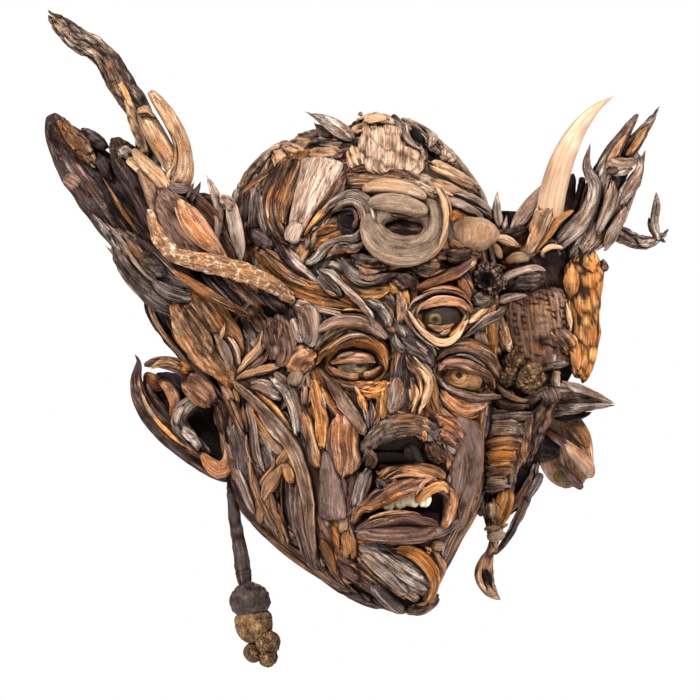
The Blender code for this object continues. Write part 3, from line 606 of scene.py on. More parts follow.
def fibreRelief(inMm, look, seed):
    size = look["grooveSize"]
    stretched = inMm / np.array([size, size, size * look["grooveRun"]]) + seed
    wave = smoothNoise(stretched * 0.5, seed)
    shift = np.stack([wave, wave, wave * 0], axis=1) * 0.5
    fine = smoothNoise(stretched + shift, seed + 3)
    finer = smoothNoise(stretched * 2.1, seed + 5)
    return 0.65 * (1 - np.abs(fine)) ** 2.2 + 0.25 * (1 - np.abs(finer)) ** 2 + 0.25 * (0.5 - 0.5 * wave)


def barkRelief(inMm, look, seed):
    rough = inMm / look["lumpSize"] * np.array([1, 1, 0.6]) + seed % 89
    near, second = cellNoise(rough, seed)
    edge = np.clip((second - near) * 2.2, 0, 1)
    return edge ** 0.6 - 0.6 + 0.35 * layeredNoise(rough * 1.7, 3, seed), (1 - edge) ** 2.6


def checkRelief(inMm, look, seed):
    warp = [0.28 * layeredNoise(inMm / 7 + turn * 9, 2, seed + turn) for turn in range(2)]
    across = inMm[:, 0] / look["checkSize"] + warp[0] + 9
    along = inMm[:, 2] / look["checkSize"] * 0.8 + warp[1] + 0.3 * np.floor(across) + 9
    lines = [0.5 - np.abs(way - np.floor(way) - 0.5) for way in (across, along)]
    edge = np.clip(np.minimum(*lines) * 7, 0, 1)
    return edge - 1, 1 - edge


def crackRelief(acrossOut, s, t, run, broad, look, seed):
    slots = np.zeros(len(t))
    for number in range(look["cracks"]):
        draw = np.random.default_rng(seed + number)
        centre, half = draw.uniform(0.15, 0.85), draw.uniform(0.12, 0.35)
        where = draw.uniform(-0.75, 0.75) * broad / 2
        upside = 1 if draw.random() < 0.85 else -1
        wander = smoothNoise(np.stack([run / waves["crack"], run * 0, run * 0], 1) + seed + number, seed)
        window = np.clip(1 - np.abs(t - centre) / half, 0, 1) ** 0.5
        slot = np.exp(-((acrossOut - where - 1.6 * mm * wander) / (look["crackWidth"] * mm)) ** 2)
        slots = np.maximum(slots, slot * window * (s * upside > 0.15))
    return slots


def splitPlies(inMm, broad, look, seed):
    draw = np.random.default_rng(seed + 5)
    count = int(round(broad / mm / look["ply"])) if look["ply"] else 1
    if count < 2:
        zero = np.zeros(len(inMm))
        return zero, zero, zero, np.full((2, len(inMm)), 0.5)
    edges = ((np.arange(1, count) + draw.uniform(-0.32, 0.32, count - 1)) / count - 0.5) * broad / mm
    along = inMm[:, 2]
    across = inMm[:, 0] + 1.1 * smoothNoise(np.stack([along / 16, along * 0, along * 0], 1) + seed, seed)
    which = np.searchsorted(edges, across)
    gap = np.abs(across[:, None] - edges[None, :]).min(axis=1)
    cut = np.exp(-(gap / look["plyGap"]) ** 2)
    breaks = draw.uniform(0, 1, (2, count))
    return cut, draw.uniform(-1, 1, count)[which], draw.uniform(-1, 1, count)[which], breaks[:, which]


def tornEnds(inMm, t, length, look, seed, breaks):
    pull = np.zeros(len(t))
    for end, torn in enumerate(look["jag"]):
        if not torn:
            continue
        near = np.clip(1 - (t if end == 0 else 1 - t) / (torn * mm * 3.5 / length), 0, 1)
        tooth = np.abs(smoothNoise(np.stack(
            [inMm[:, 0] / 1.6, inMm[:, 1] / 1.6, t * 0 + end * 7], 1) + seed, seed + 11))
        pull += (1 if end == 0 else -1) * near * (tooth * 1.2 + breaks[end] * 1.5) * torn * mm
    return pull


def grow(name, finish, rows, follow=False, **changes):
    look = {**plainLook, **changes}
    seed = int(rng.integers(1, 10 ** 5))
    _, length = rowsAt(rows, [0, 1])
    broad = max(row[3] for row in rows)
    deep = max(row[4] for row in rows)
    step = look["mesh"] * mm
    around = (broad + deep) * meshing["laid" if follow else "free"] / step
    around = int(np.clip(2 * math.ceil(around), *meshing["around"]))
    rings = int(np.clip(math.ceil(length / step / meshing["stretch"]) + meshing["extra"], *meshing["rings"]))
    shares = ringShares(rings, look["ends"])
    line, length = rowsAt(rows, shares)
    points = line[:, :3].copy()
    if look["bend"]:
        along = shares * length / waves["bend"]
        wander = np.stack([smoothNoise(np.stack([along, shares * 0 + way, shares * 0], 1), seed + way)
                           for way in range(3)], axis=1)
        points += wander * look["bend"] * mm * np.sin(np.pi * shares)[:, None]
    facings = np.tile((0.0, -1.0, 0.0), (len(points), 1))
    if follow:
        _, facings = nearestOnHead(points)
        padded = np.vstack([facings[:1].repeat(2, 0), facings, facings[-1:].repeat(2, 0)])
        facings = np.stack([np.convolve(column, np.ones(5) / 5, "valid") for column in padded.T], axis=1)
    tangents, facings, sides = frameAlong(points, facings, look["twist"], shares)

    bpy.ops.mesh.primitive_uv_sphere_add(segments=around, ring_count=rings, radius=1)
    piece = bpy.context.object
    piece.name = name
    ball = placesOf(piece)
    ring = np.rint(np.arccos(np.clip(ball[:, 2], -1, 1)) / np.pi * rings).astype(int)
    angle = np.arctan2(ball[:, 1], ball[:, 0])
    if follow:  # a glued strip is seen from above, so most of its faces lie there
        fromTop = (angle - math.pi / 2 + math.pi) % (2 * math.pi) - math.pi
        angle = math.pi / 2 + fromTop * (0.62 + 0.38 * (fromTop / math.pi) ** 2)
    pole = (ring == 0) | (ring == rings)
    c, s = np.cos(angle), np.sin(angle)
    c = np.sign(c) * np.abs(c) ** (2 / look["corner"])
    s = np.sign(s) * np.abs(s) ** (2 / look["corner"])
    c[pole] = s[pole] = 0
    t = shares[ring]
    run = t * length
    wide, thick = line[ring, 3] / 2, line[ring, 4] / 2
    core = np.stack([c * 0.6, s * 0.6, run / waves["swell"]], axis=1) + seed % 97
    share = endShares(t, look["ends"]) * (1 + look["swell"] * layeredNoise(core, 2, seed))
    share[pole] = 0
    edgeSpot = np.stack([np.sign(c) * 3 + 5, run * 0, run / waves["edge"]], axis=1) + seed % 83
    ragged = 1 + look["ragged"] * min(1, 3 * mm / (broad / 2)) * layeredNoise(edgeSpot, 3, seed + 21)
    lean = 1 + look["lean"] * np.random.default_rng(seed).uniform(-1, 1) * c
    acrossOut, thickOut = c * wide * share * ragged, s * thick * share * lean
    block = np.stack([acrossOut, thickOut, run], axis=1)  # straight wood: across, through, along
    inMm = np.stack([c * wide, s * thick, run], axis=1) / mm

    hollow = fibreRelief(inMm, look, seed)
    push = -look["groove"] * hollow
    hollow = hollow * min(0.78, 0.3 + 0.5 * look["groove"])
    if look["lump"]:
        raised, between = barkRelief(inMm, look, seed)
        push = push + look["lump"] * raised
        hollow = hollow * 0.6 + 0.65 * between
    if look["check"]:
        raised, between = checkRelief(inMm, look, seed)
        push = push + look["check"] * raised
        hollow = hollow * 0.5 + 0.9 * between
    if look["rings"]:
        wave = run / mm / look["ringGap"] * 2 * np.pi + 1.5 * smoothNoise(core * 2, seed + 8)
        beat = 0.5 + 0.5 * np.cos(wave)
        push = push + look["rings"] * (beat ** 2 - 0.4)
        hollow = hollow + 0.4 * (1 - beat) ** 2
    slots = crackRelief(acrossOut, s, t, run, broad, look, seed)
    push = push - look["crackDepth"] * slots
    hollow = np.maximum(hollow, slots)
    cut, plyLift, plyShade, breaks = splitPlies(inMm, broad, look, seed)
    push = push - look["plyCut"] * cut + look["plyStep"] * plyLift
    hollow = np.maximum(hollow, 0.7 * cut)
    push = np.maximum(push * np.clip(share * 1.6, 0, 1) * mm, -0.7 * thick)
    flat = np.stack([c / np.maximum(wide, 1e-5), s / np.maximum(thick, 1e-5)], axis=1)
    flat /= np.linalg.norm(flat, axis=1)[:, None] + 1e-9
    acrossOut = acrossOut + flat[:, 0] * push
    thickOut = thickOut + flat[:, 1] * push
    thickOut = thickOut + look["curl"] * line[ring, 3] * (c * c - 0.5) * np.minimum(share, 1)
    offset = tangents[ring] * tornEnds(inMm, t, length, look, seed, breaks)[:, None]

    base = points[ring] + sides[ring] * acrossOut[:, None]
    if follow:
        base, _ = nearestOnHead(base)
        stand = thickOut + look["over"] * mm + thick - seat
        # painted shade: a strip's sides darken towards its foot, where it meets the head
        hollow = np.maximum(hollow, 0.95 * np.clip(1 - stand / (thick + 1e-6) * 0.9, 0, 1))
        thickOut = stand
    setPlaces(piece, base + facings[ring] * thickOut[:, None] + offset)
    tint = look["tint"] if look["tint"] is not None else float(rng.uniform(0.1, 0.9))
    paint(piece, "grain", block + rng.uniform(0, 3, 3))
    # the hollow attribute is painted shade: darker in grooves, cracks and splits, at a strip's foot and over a
    # piece in shade
    paint(piece, "hollow", np.clip(np.maximum(hollow, look["dusk"]), 0, 1))
    paint(piece, "tint", np.clip(tint + 0.13 * plyShade, 0, 1.7))
    finishPiece(piece, finish)
    return piece


def finishPiece(piece, finish):
    piece.data.materials.clear()
    piece.data.materials.append(finishes[finish])
    piece.data.shade_smooth()
    shape = bmesh.new()
    shape.from_mesh(piece.data)
    if shape.calc_volume(signed=True) < 0:
        bmesh.ops.reverse_faces(shape, faces=shape.faces)
        shape.to_mesh(piece.data)
    shape.free()


def freeRows(path):
    return [(*place(*row[:3]), row[3] * unit, row[4] * unit) for row in path]


def laidRows(path, thick):
    rows = []
    for across, down, wide in path:
        spot, _ = onHead(across, down)
        rows.append((*spot, wide * unit, thick * mm))
    return rows


def keep(piece, nodes=()):
    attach(piece, "root")
    if nodes:
        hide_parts(*nodes)
    madePieces.append(piece)
    return piece


def carve(name, finish, path, **look):
    keep(grow(name, finish, freeRows(path), **look), [name])


def lay(name, finish, path, thick, **look):
    keep(grow(name, finish, laidRows(path, thick), follow=True, **look), [name])


def joined(name, pieces, nodes=()):
    bpy.ops.object.select_all(action="DESELECT")
    for piece in pieces:
        piece.select_set(True)
    bpy.context.view_layer.objects.active = pieces[0]
    if len(pieces) > 1:
        bpy.ops.object.join()
    whole = bpy.context.view_layer.objects.active
    whole.name = name
    bpy.ops.object.select_all(action="DESELECT")
    return keep(whole, nodes)


def loop(name, finish, across, down, halfWide, halfTall, band, deep, lift, tilt=0.0, almond=1.0, mesh=1.1,
         groove=0.35, swell=0.08, tint=None):
    seed = int(rng.integers(1, 10 ** 6))
    girth = 2 * math.pi * math.sqrt((halfWide ** 2 + halfTall ** 2) / 2) * unit
    major = int(np.clip(girth / (mesh * mm), 40, 160))
    minor = int(np.clip(2 * (band + deep) * unit / (mesh * mm), 14, 60))
    bpy.ops.mesh.primitive_torus_add(major_segments=major, minor_segments=minor, major_radius=1,
                                     minor_radius=0.25)
    piece = bpy.context.object
    piece.name = name
    ball = placesOf(piece)
    turn = np.arctan2(ball[:, 1], ball[:, 0])
    outward = (np.hypot(ball[:, 0], ball[:, 1]) - 1) * 4
    height = ball[:, 2] * 4
    span = band / 2 * (0.65 + 0.35 * np.abs(np.sin(turn)))
    core = np.stack([np.cos(turn) * 2, np.sin(turn) * 2, outward * 0.3], axis=1)
    span = span * (1 + swell * smoothNoise(core + seed, seed))
    run = turn * girth / (2 * math.pi)
    inMm = np.stack([outward * span * unit / mm, height * deep / 2 * unit / mm, run / mm], axis=1)
    fine = smoothNoise(np.stack([inMm[:, 0] / 1.3, inMm[:, 1] / 1.3, np.cos(turn) * 2.4], 1) + seed, seed)
    finer = smoothNoise(np.stack([inMm[:, 0] / 0.7, inMm[:, 1] / 0.7, np.sin(turn) * 4], 1) + seed, seed + 2)
    sunk = 0.7 * (1 - np.abs(fine)) ** 2.4 + 0.3 * (1 - np.abs(finer)) ** 2
    shrink = 1 - groove * sunk * mm / (min(band, deep) / 2 * unit)
    tall = np.sign(np.sin(turn)) * np.abs(np.sin(turn)) ** almond
    x = (halfWide + outward * span * shrink) * np.cos(turn)
    y = (halfTall + outward * span * shrink) * tall
    x, y = x * math.cos(tilt) - y * math.sin(tilt), x * math.sin(tilt) + y * math.cos(tilt)
    hits = [onHead(across + a, down - b) for a, b in zip(x, y)]
    spots = np.array([hit[0] for hit in hits])
    middle = onHead(across, down)[1]
    places = spots + middle * ((height * shrink * deep / 2 + lift) * unit)[:, None]
    setPlaces(piece, places)
    paint(piece, "grain", inMm * mm + rng.uniform(0, 3, 3))
    # painted shade in its grooves
    paint(piece, "hollow", np.clip(sunk * (0.4 + groove), 0, 1))
    paint(piece, "tint", np.full(len(x), tint if tint is not None else float(rng.uniform(0.3, 0.8))))
    finishPiece(piece, finish)
    keep(piece, [name])


def lump(name, finish, centre, radii, mesh=1.1, bumps=0.08, bumpSize=7, pits=0.0, pitSize=3, tint=None):
    seed = int(rng.integers(1, 10 ** 6))
    around = int(np.clip(2 * math.pi * max(radii) / (mesh * mm), 20, 110))
    bpy.ops.mesh.primitive_uv_sphere_add(segments=around, ring_count=around // 2, radius=1)
    piece = bpy.context.object
    piece.name = name
    ball = placesOf(piece)
    inMm = ball * np.array(radii) / mm
    swell = bumps * layeredNoise(inMm / bumpSize + seed, 3, seed)
    # painted shade in the dips between its bumps, and more in its pits
    hollow = np.clip(0.35 - swell * 2, 0, 1)
    if pits:
        near, second = cellNoise(inMm / pitSize + seed % 89, seed)
        edge = np.clip((second - near) * 2.4, 0, 1)
        swell = swell - pits * (1 - edge) * mm / min(radii)
        hollow = np.clip(hollow * 0.5 + 0.85 * (1 - edge), 0, 1)
    places = np.array(centre) + ball * np.array(radii) * (1 + swell)[:, None]
    setPlaces(piece, places)
    paint(piece, "grain", inMm * mm + rng.uniform(0, 3, 3))
    paint(piece, "hollow", hollow)
    drawn = float(rng.uniform(0.3, 0.7))
    paint(piece, "tint", np.full(len(swell), drawn if tint is None else tint))
    finishPiece(piece, finish)
    return piece


# The head itself: the mass that all the strips are glued to

mass = {
    "fibre": (2.2, 2.2, 16), "broad": (7, 7, 30),  # sizes of its ridges, in millimetres
    "relief": 1.6,
    "inside": (-0.03, -0.07, -0.01),  # the relief is sunk towards this point
    "back": -0.004,  # behind this the mass is flat
    "shade": ((-0.09, -0.055, -0.004), (1, 0.45, 0.2)),  # painted shade: less dark round the sides and behind
    "sharp": math.radians(50),
}


def dressHead():
    head = headMesh(around=160, rings=140)
    head.name = "head_mass"
    co = placesOf(head)
    inMm = co / mm
    fibre = smoothNoise(inMm / mass["fibre"], 3)
    broad = smoothNoise(inMm / mass["broad"], 4)
    sunk = 0.6 * (1 - np.abs(fibre)) ** 2 + 0.4 * (0.5 - 0.5 * broad)
    inward = mass["inside"] - co
    inward /= np.linalg.norm(inward, axis=1)[:, None]
    carved = co[:, 1] <= mass["back"]
    setPlaces(head, co + inward * (sunk * mass["relief"] * mm * carved)[:, None])
    paint(head, "grain", co + 1.3)
    # painted shade: the mass shows only in the gaps between the strips, so it is painted dark
    paint(head, "hollow", np.clip(0.72 + sunk * 0.5, 0, 1) * np.interp(co[:, 1], *mass["shade"]))
    paint(head, "tint", np.full(len(co), 0.4))
    bpy.ops.object.select_all(action="DESELECT")
    head.select_set(True)
    bpy.context.view_layer.objects.active = head
    bpy.ops.object.mode_set(mode="EDIT")
    bpy.ops.mesh.select_all(action="SELECT")
    bpy.ops.mesh.bisect(plane_co=(0, 0, 0), plane_no=(0, 1, 0), use_fill=True, clear_outer=True)
    bpy.ops.object.mode_set(mode="OBJECT")
    finishPiece(head, "brown_strip")
    bpy.ops.object.shade_smooth_by_angle(angle=mass["sharp"])
    keep(head, ["head_form"])


woods = {"grey": "grey_driftwood", "brown": "brown_strip", "orange": "orange_heartwood",
         "dark": "dark_weathered", "tan": "smooth_tan", "stone": "smooth_stone_grey", "bark": "rough_bark",
         "lip": "lip_wood", "check": "checkered_bark", "lichen": "lichen_bark"}

splinter = {"ends": (1.6, 1.6), "groove": 0.55}
sawn = {"ends": (6, 6), "corner": 3.2}
torn = {"ends": (4, 4), "jag": (3, 3), "groove": 0.8, "corner": 3}
smooth = {"groove": 0.16, "grooveSize": 3.5, "swell": 0.08, "ply": 0, "ragged": 0.06, "jag": (0.6, 0.6)}
polished = {"groove": 0.07, "grooveSize": 4, "swell": 0.03, "ply": 0, "ragged": 0.015, "lean": 0.05,
            "jag": (0, 0)}
chunk = {"ends": (5, 5), "corner": 3.4, "ply": 2.1, "plyCut": 1.3, "plyStep": 0.8, "jag": (2.2, 2.2),
         "groove": 0.6}
barky = {"groove": 0.5, "lump": 0.7, "lumpSize": 4.5, "ends": (4, 4), "jag": (2, 2), "corner": 3}
ribbed = {"groove": 1.1, "grooveSize": 2.6, "grooveRun": 16, "ends": (3, 3)}
sharpStart = {"ends": (1.7, 3)}
sharpEnd = {"ends": (3, 1.7)}


flows = []  # which way the wood runs over the face: across, down, and the direction there
nostril = {"middle": (398, 454), "reach": (30, 14)}  # no splinter is laid across it
sliver = {  # the thin splinters that run along with each strip
    "count": 2, "start": (0, 0.5), "long": (0.3, 0.5), "shortest": 7,
    "beside": (0.2, 0.85), "raised": (-0.2, 0.6), "wide": (2.4, 5.2), "thick": 3.4,
}


def merged(looks):
    return {key: value for look in looks for key, value in look.items()}


def joinGroups(region, groups):
    for wood, pieces in groups.items():
        joined(f"{region}_{wood}", pieces)


def glueStrips(region, strips, widen=1.0, straight=0.0):
    groups = {}
    for number, (wood, thick, over, path, *rest) in enumerate(strips):
        look = merged(({"jag": (1.4 + 1.6 * straight,) * 2}, *rest))
        widest = max(row[2] for row in path)
        path = [(across, down, widen * widest * (wide / widest) ** (1 - straight))
                for across, down, wide in path]
        piece = grow(f"{region}_{number}", woods[wood], laidRows(path, thick), follow=True, over=over, **look)
        groups.setdefault(wood, []).append(piece)
        drawn = smoothRows(path, 8)
        ways = np.gradient(drawn[:, :2], axis=0)
        ways /= np.linalg.norm(ways, axis=1)[:, None] + 1e-9
        flows.extend(np.hstack([drawn[:, :2], ways]))
        # a piece darkened mostly into painted shade gets no slivers
        for turn in range(0 if look.get("dusk", 0) > 0.5 else sliver["count"]):
            start = rng.uniform(*sliver["start"])
            part = slice(int(start * len(drawn)), int((start + rng.uniform(*sliver["long"])) * len(drawn)) + 2)
            beside = rng.choice((-1, 1)) * rng.uniform(*sliver["beside"])
            wide = rng.uniform(*sliver["wide"])
            line = drawn[part, :2] + ways[part][:, ::-1] * (-1, 1) * drawn[part, 2:] * beside * 0.6
            line = line[np.linspace(0, len(line) - 1, 4).astype(int)]
            inside = ((line - nostril["middle"]) / nostril["reach"]) ** 2
            if np.linalg.norm(line[-1] - line[0]) < sliver["shortest"] or inside.sum(axis=1).min() < 1:
                continue
            thin = [(*spot, wide * share) for spot, share in zip(line, (0.5, 1, 1, 0.5))]
            kind = rng.choice((wood, wood, "grey", "brown", "tan", "dark", "orange", "lip"))
            groups.setdefault(kind, []).append(grow(
                f"{region}_sliver", woods[kind], laidRows(thin, sliver["thick"]), follow=True, mesh=1.3,
                ends=(1.8, 1.8), over=over + rng.uniform(*sliver["raised"]) * thick, bend=0.5, ply=0, lean=0.6))
    joinGroups(region, groups)
    print(region, len(strips), "strips")


def glueLimbs(region, limbs):
    groups = {}
    for number, (wood, path, *rest) in enumerate(limbs):
        piece = grow(f"{region}_{number}", woods[wood], freeRows(path), **merged(rest))
        groups.setdefault(wood, []).append(piece)
    joinGroups(region, groups)
    print(region, len(limbs), "limbs")


# Eyes, nose and mouth

eyes = {  # across, down, width and height in millimetres, how deep it is sunk, aim, painted shade over it and towards its corners, warmth
    "eyeball_left": (357, 366, 36, 26, 2, (2.0, -1.0), 0.35, 0.0),
    "eyeball_right": (457, 379, 33, 25.2, 2, (0.5, -2.5), 0.35, 0.6),
    "eyeball_middle": (437, 319, 28.8, 21.6, 0, (-2.0, 1.0), 1.0, 0.4),
}
gaze = {
    "depth": 0.36, "iris": 0.17,  # as shares of the eye's width
    "pupil": 0.42,  # as a share of the iris
    "rimWidth": 0.5, "rimHeight": 0.4, "pupilDepth": 0.9, "dishDepth": 0.25,  # in millimetres
}


def makeEyes():
    for name, (across, down, wide, tall, sunk, aim, dusk, warmth) in eyes.items():
        spot, normal = onHead(across, down)
        radii = (wide * mm / 2, wide * gaze["depth"] * mm, tall * mm / 2)
        piece = lump(name, "eye_wood", spot - normal * sunk * unit, radii, mesh=0.6, bumps=0.004, bumpSize=3)
        co = placesOf(piece)
        flat = (co - spot) / mm
        away = np.hypot(flat[:, 0] - aim[0], flat[:, 2] + aim[1])
        iris = wide * gaze["iris"]
        front = co[:, 1] < spot[1]
        dish = np.clip(1 - away / iris, 0, 1) ** 0.5 * front
        rim = np.exp(-((away - iris) / gaze["rimWidth"]) ** 2) * front
        pupil = np.clip(1 - away / (iris * gaze["pupil"]), 0, 1) ** 0.3 * front
        co[:, 1] += (rim * gaze["rimHeight"] + pupil * gaze["pupilDepth"] - dish * gaze["dishDepth"]) * mm
        setPlaces(piece, co)
        # painted shade over the whole eye, and more towards its corners under the lids; the rim ring and pupil
        # are dark in their own colour
        shade = dusk * (0.6 + np.clip(away / iris * 1.6 - 1.5, 0, 1))
        repaint(piece, "hollow", np.clip(rim * 0.45 + pupil * 0.9 + shade, 0, 1))
        repaint(piece, "tint", np.full(len(co), warmth))
        keep(piece, [name])
    half = 17 * mm / unit
    loop("lids_left", "orange_heartwood", 357, 365, half * 1.12, 19, 11, 12, lift=2, tilt=-0.12,
         almond=1.3, groove=0.5, tint=0.3)
    loop("lids_right", "lip_wood", 460, 378, half * 1.12, 19, 10, 12, lift=2, tilt=-0.3, almond=1.2,
         groove=0.4, tint=0.4)
    loop("lids_middle", "smooth_stone_grey", 435, 320, half * 1.08, 18, 10, 13, lift=3, tilt=0.1,
         almond=1.3, groove=0.35, tint=0.3)
    lay("brow_left", "smooth_tan", ((312, 372, 9), (320, 346, 12), (345, 329, 13), (370, 332, 12),
          (390, 348, 8)), 7, **ribbed, cracks=3, tint=0.9)
    lay("brow_right", "brown_strip", ((428, 354, 7), (442, 346, 10), (464, 342, 11), (484, 352, 10),
          (494, 370, 7)), 7, groove=0.35, cracks=2)
    lid = {"ply": 2.2, "ragged": 0.1, "ends": (2.2, 2.2), "groove": 0.7}
    glueStrips("lids", (
        ("lip", 9, 5, ((330, 361, 6), (342, 352, 13), (357, 349, 15), (371, 352, 13), (384, 361, 6)), lid,
         {"tint": 0.75}),
        ("lip", 7, 3.5, ((328, 367, 4), (337, 378, 8), (350, 382, 9), (362, 382, 8)), {"ends": (3, 5),
              "tint": 0.6}),
        ("lip", 7, 3.8, ((363, 381, 8), (375, 378, 9), (388, 367, 6)), {"ends": (5, 3), "tint": 0.65}),
        ("brown", 6, 1.5, ((325, 370, 4), (337, 385, 7), (357, 391, 8), (378, 386, 7), (391, 375, 3)),
         splinter),
        ("orange", 9, 2, ((316, 366, 7), (325, 349, 12), (341, 338, 14), (360, 334, 14), (378, 340, 13),
                          (390, 355, 11), (392, 374, 6)), lid, {"tint": 0.4, "ends": (3, 3)}),
        ("tan", 5, 6, ((319, 358, 3), (331, 342, 5), (346, 333, 5), (366, 331, 5), (385, 343, 3)), splinter),
        ("lip", 9, 5, ((430, 370, 5), (439, 359, 13), (455, 356, 16), (469, 364, 15), (479, 379, 10),
                       (482, 395, 4)), lid, {"tint": 0.6}),
        ("dark", 7, 5.5, ((429, 376, 4), (437, 389, 8), (451, 398, 9), (468, 401, 9), (480, 398, 6),
                          (493, 393, 3)), {"ply": 3, "ends": (2, 1.6), "tint": 1.0}),
        ("brown", 8, 1.5, ((433, 357, 6), (446, 346, 14), (466, 345, 17), (482, 355, 16), (490, 373, 12),
                           (491, 392, 6)), polished, {"tint": 0.5, "groove": 0.2}),
        ("lip", 7, 6.5, ((410, 321, 4), (418, 308, 9), (436, 300, 11), (455, 304, 10), (465, 318, 4)), lid,
         {"tint": 1.1}),
        ("grey", 5, 6, ((404, 316, 3), (413, 301, 6), (436, 291, 7), (457, 296, 6), (468, 312, 3)), splinter,
         {"tint": 1.0}),
        ("tan", 6, 5.5, ((404, 313, 4), (414, 331, 7), (432, 341, 9), (449, 339, 8), (464, 322, 4)), polished,
         {"tint": 1.5, "groove": 0.2}),
        ("tan", 5, 5.5, ((424, 328, 4), (438, 332, 8), (452, 326, 4)), polished, {"tint": 0.5}),
        ("orange", 4, 6.5, ((444, 338, 3), (453, 333, 5), (461, 324, 3)), smooth),
        ("dark", 6, 4, ((398, 306, 3), (404, 322, 6), (414, 336, 6), (428, 346, 4)), ribbed),
    ))


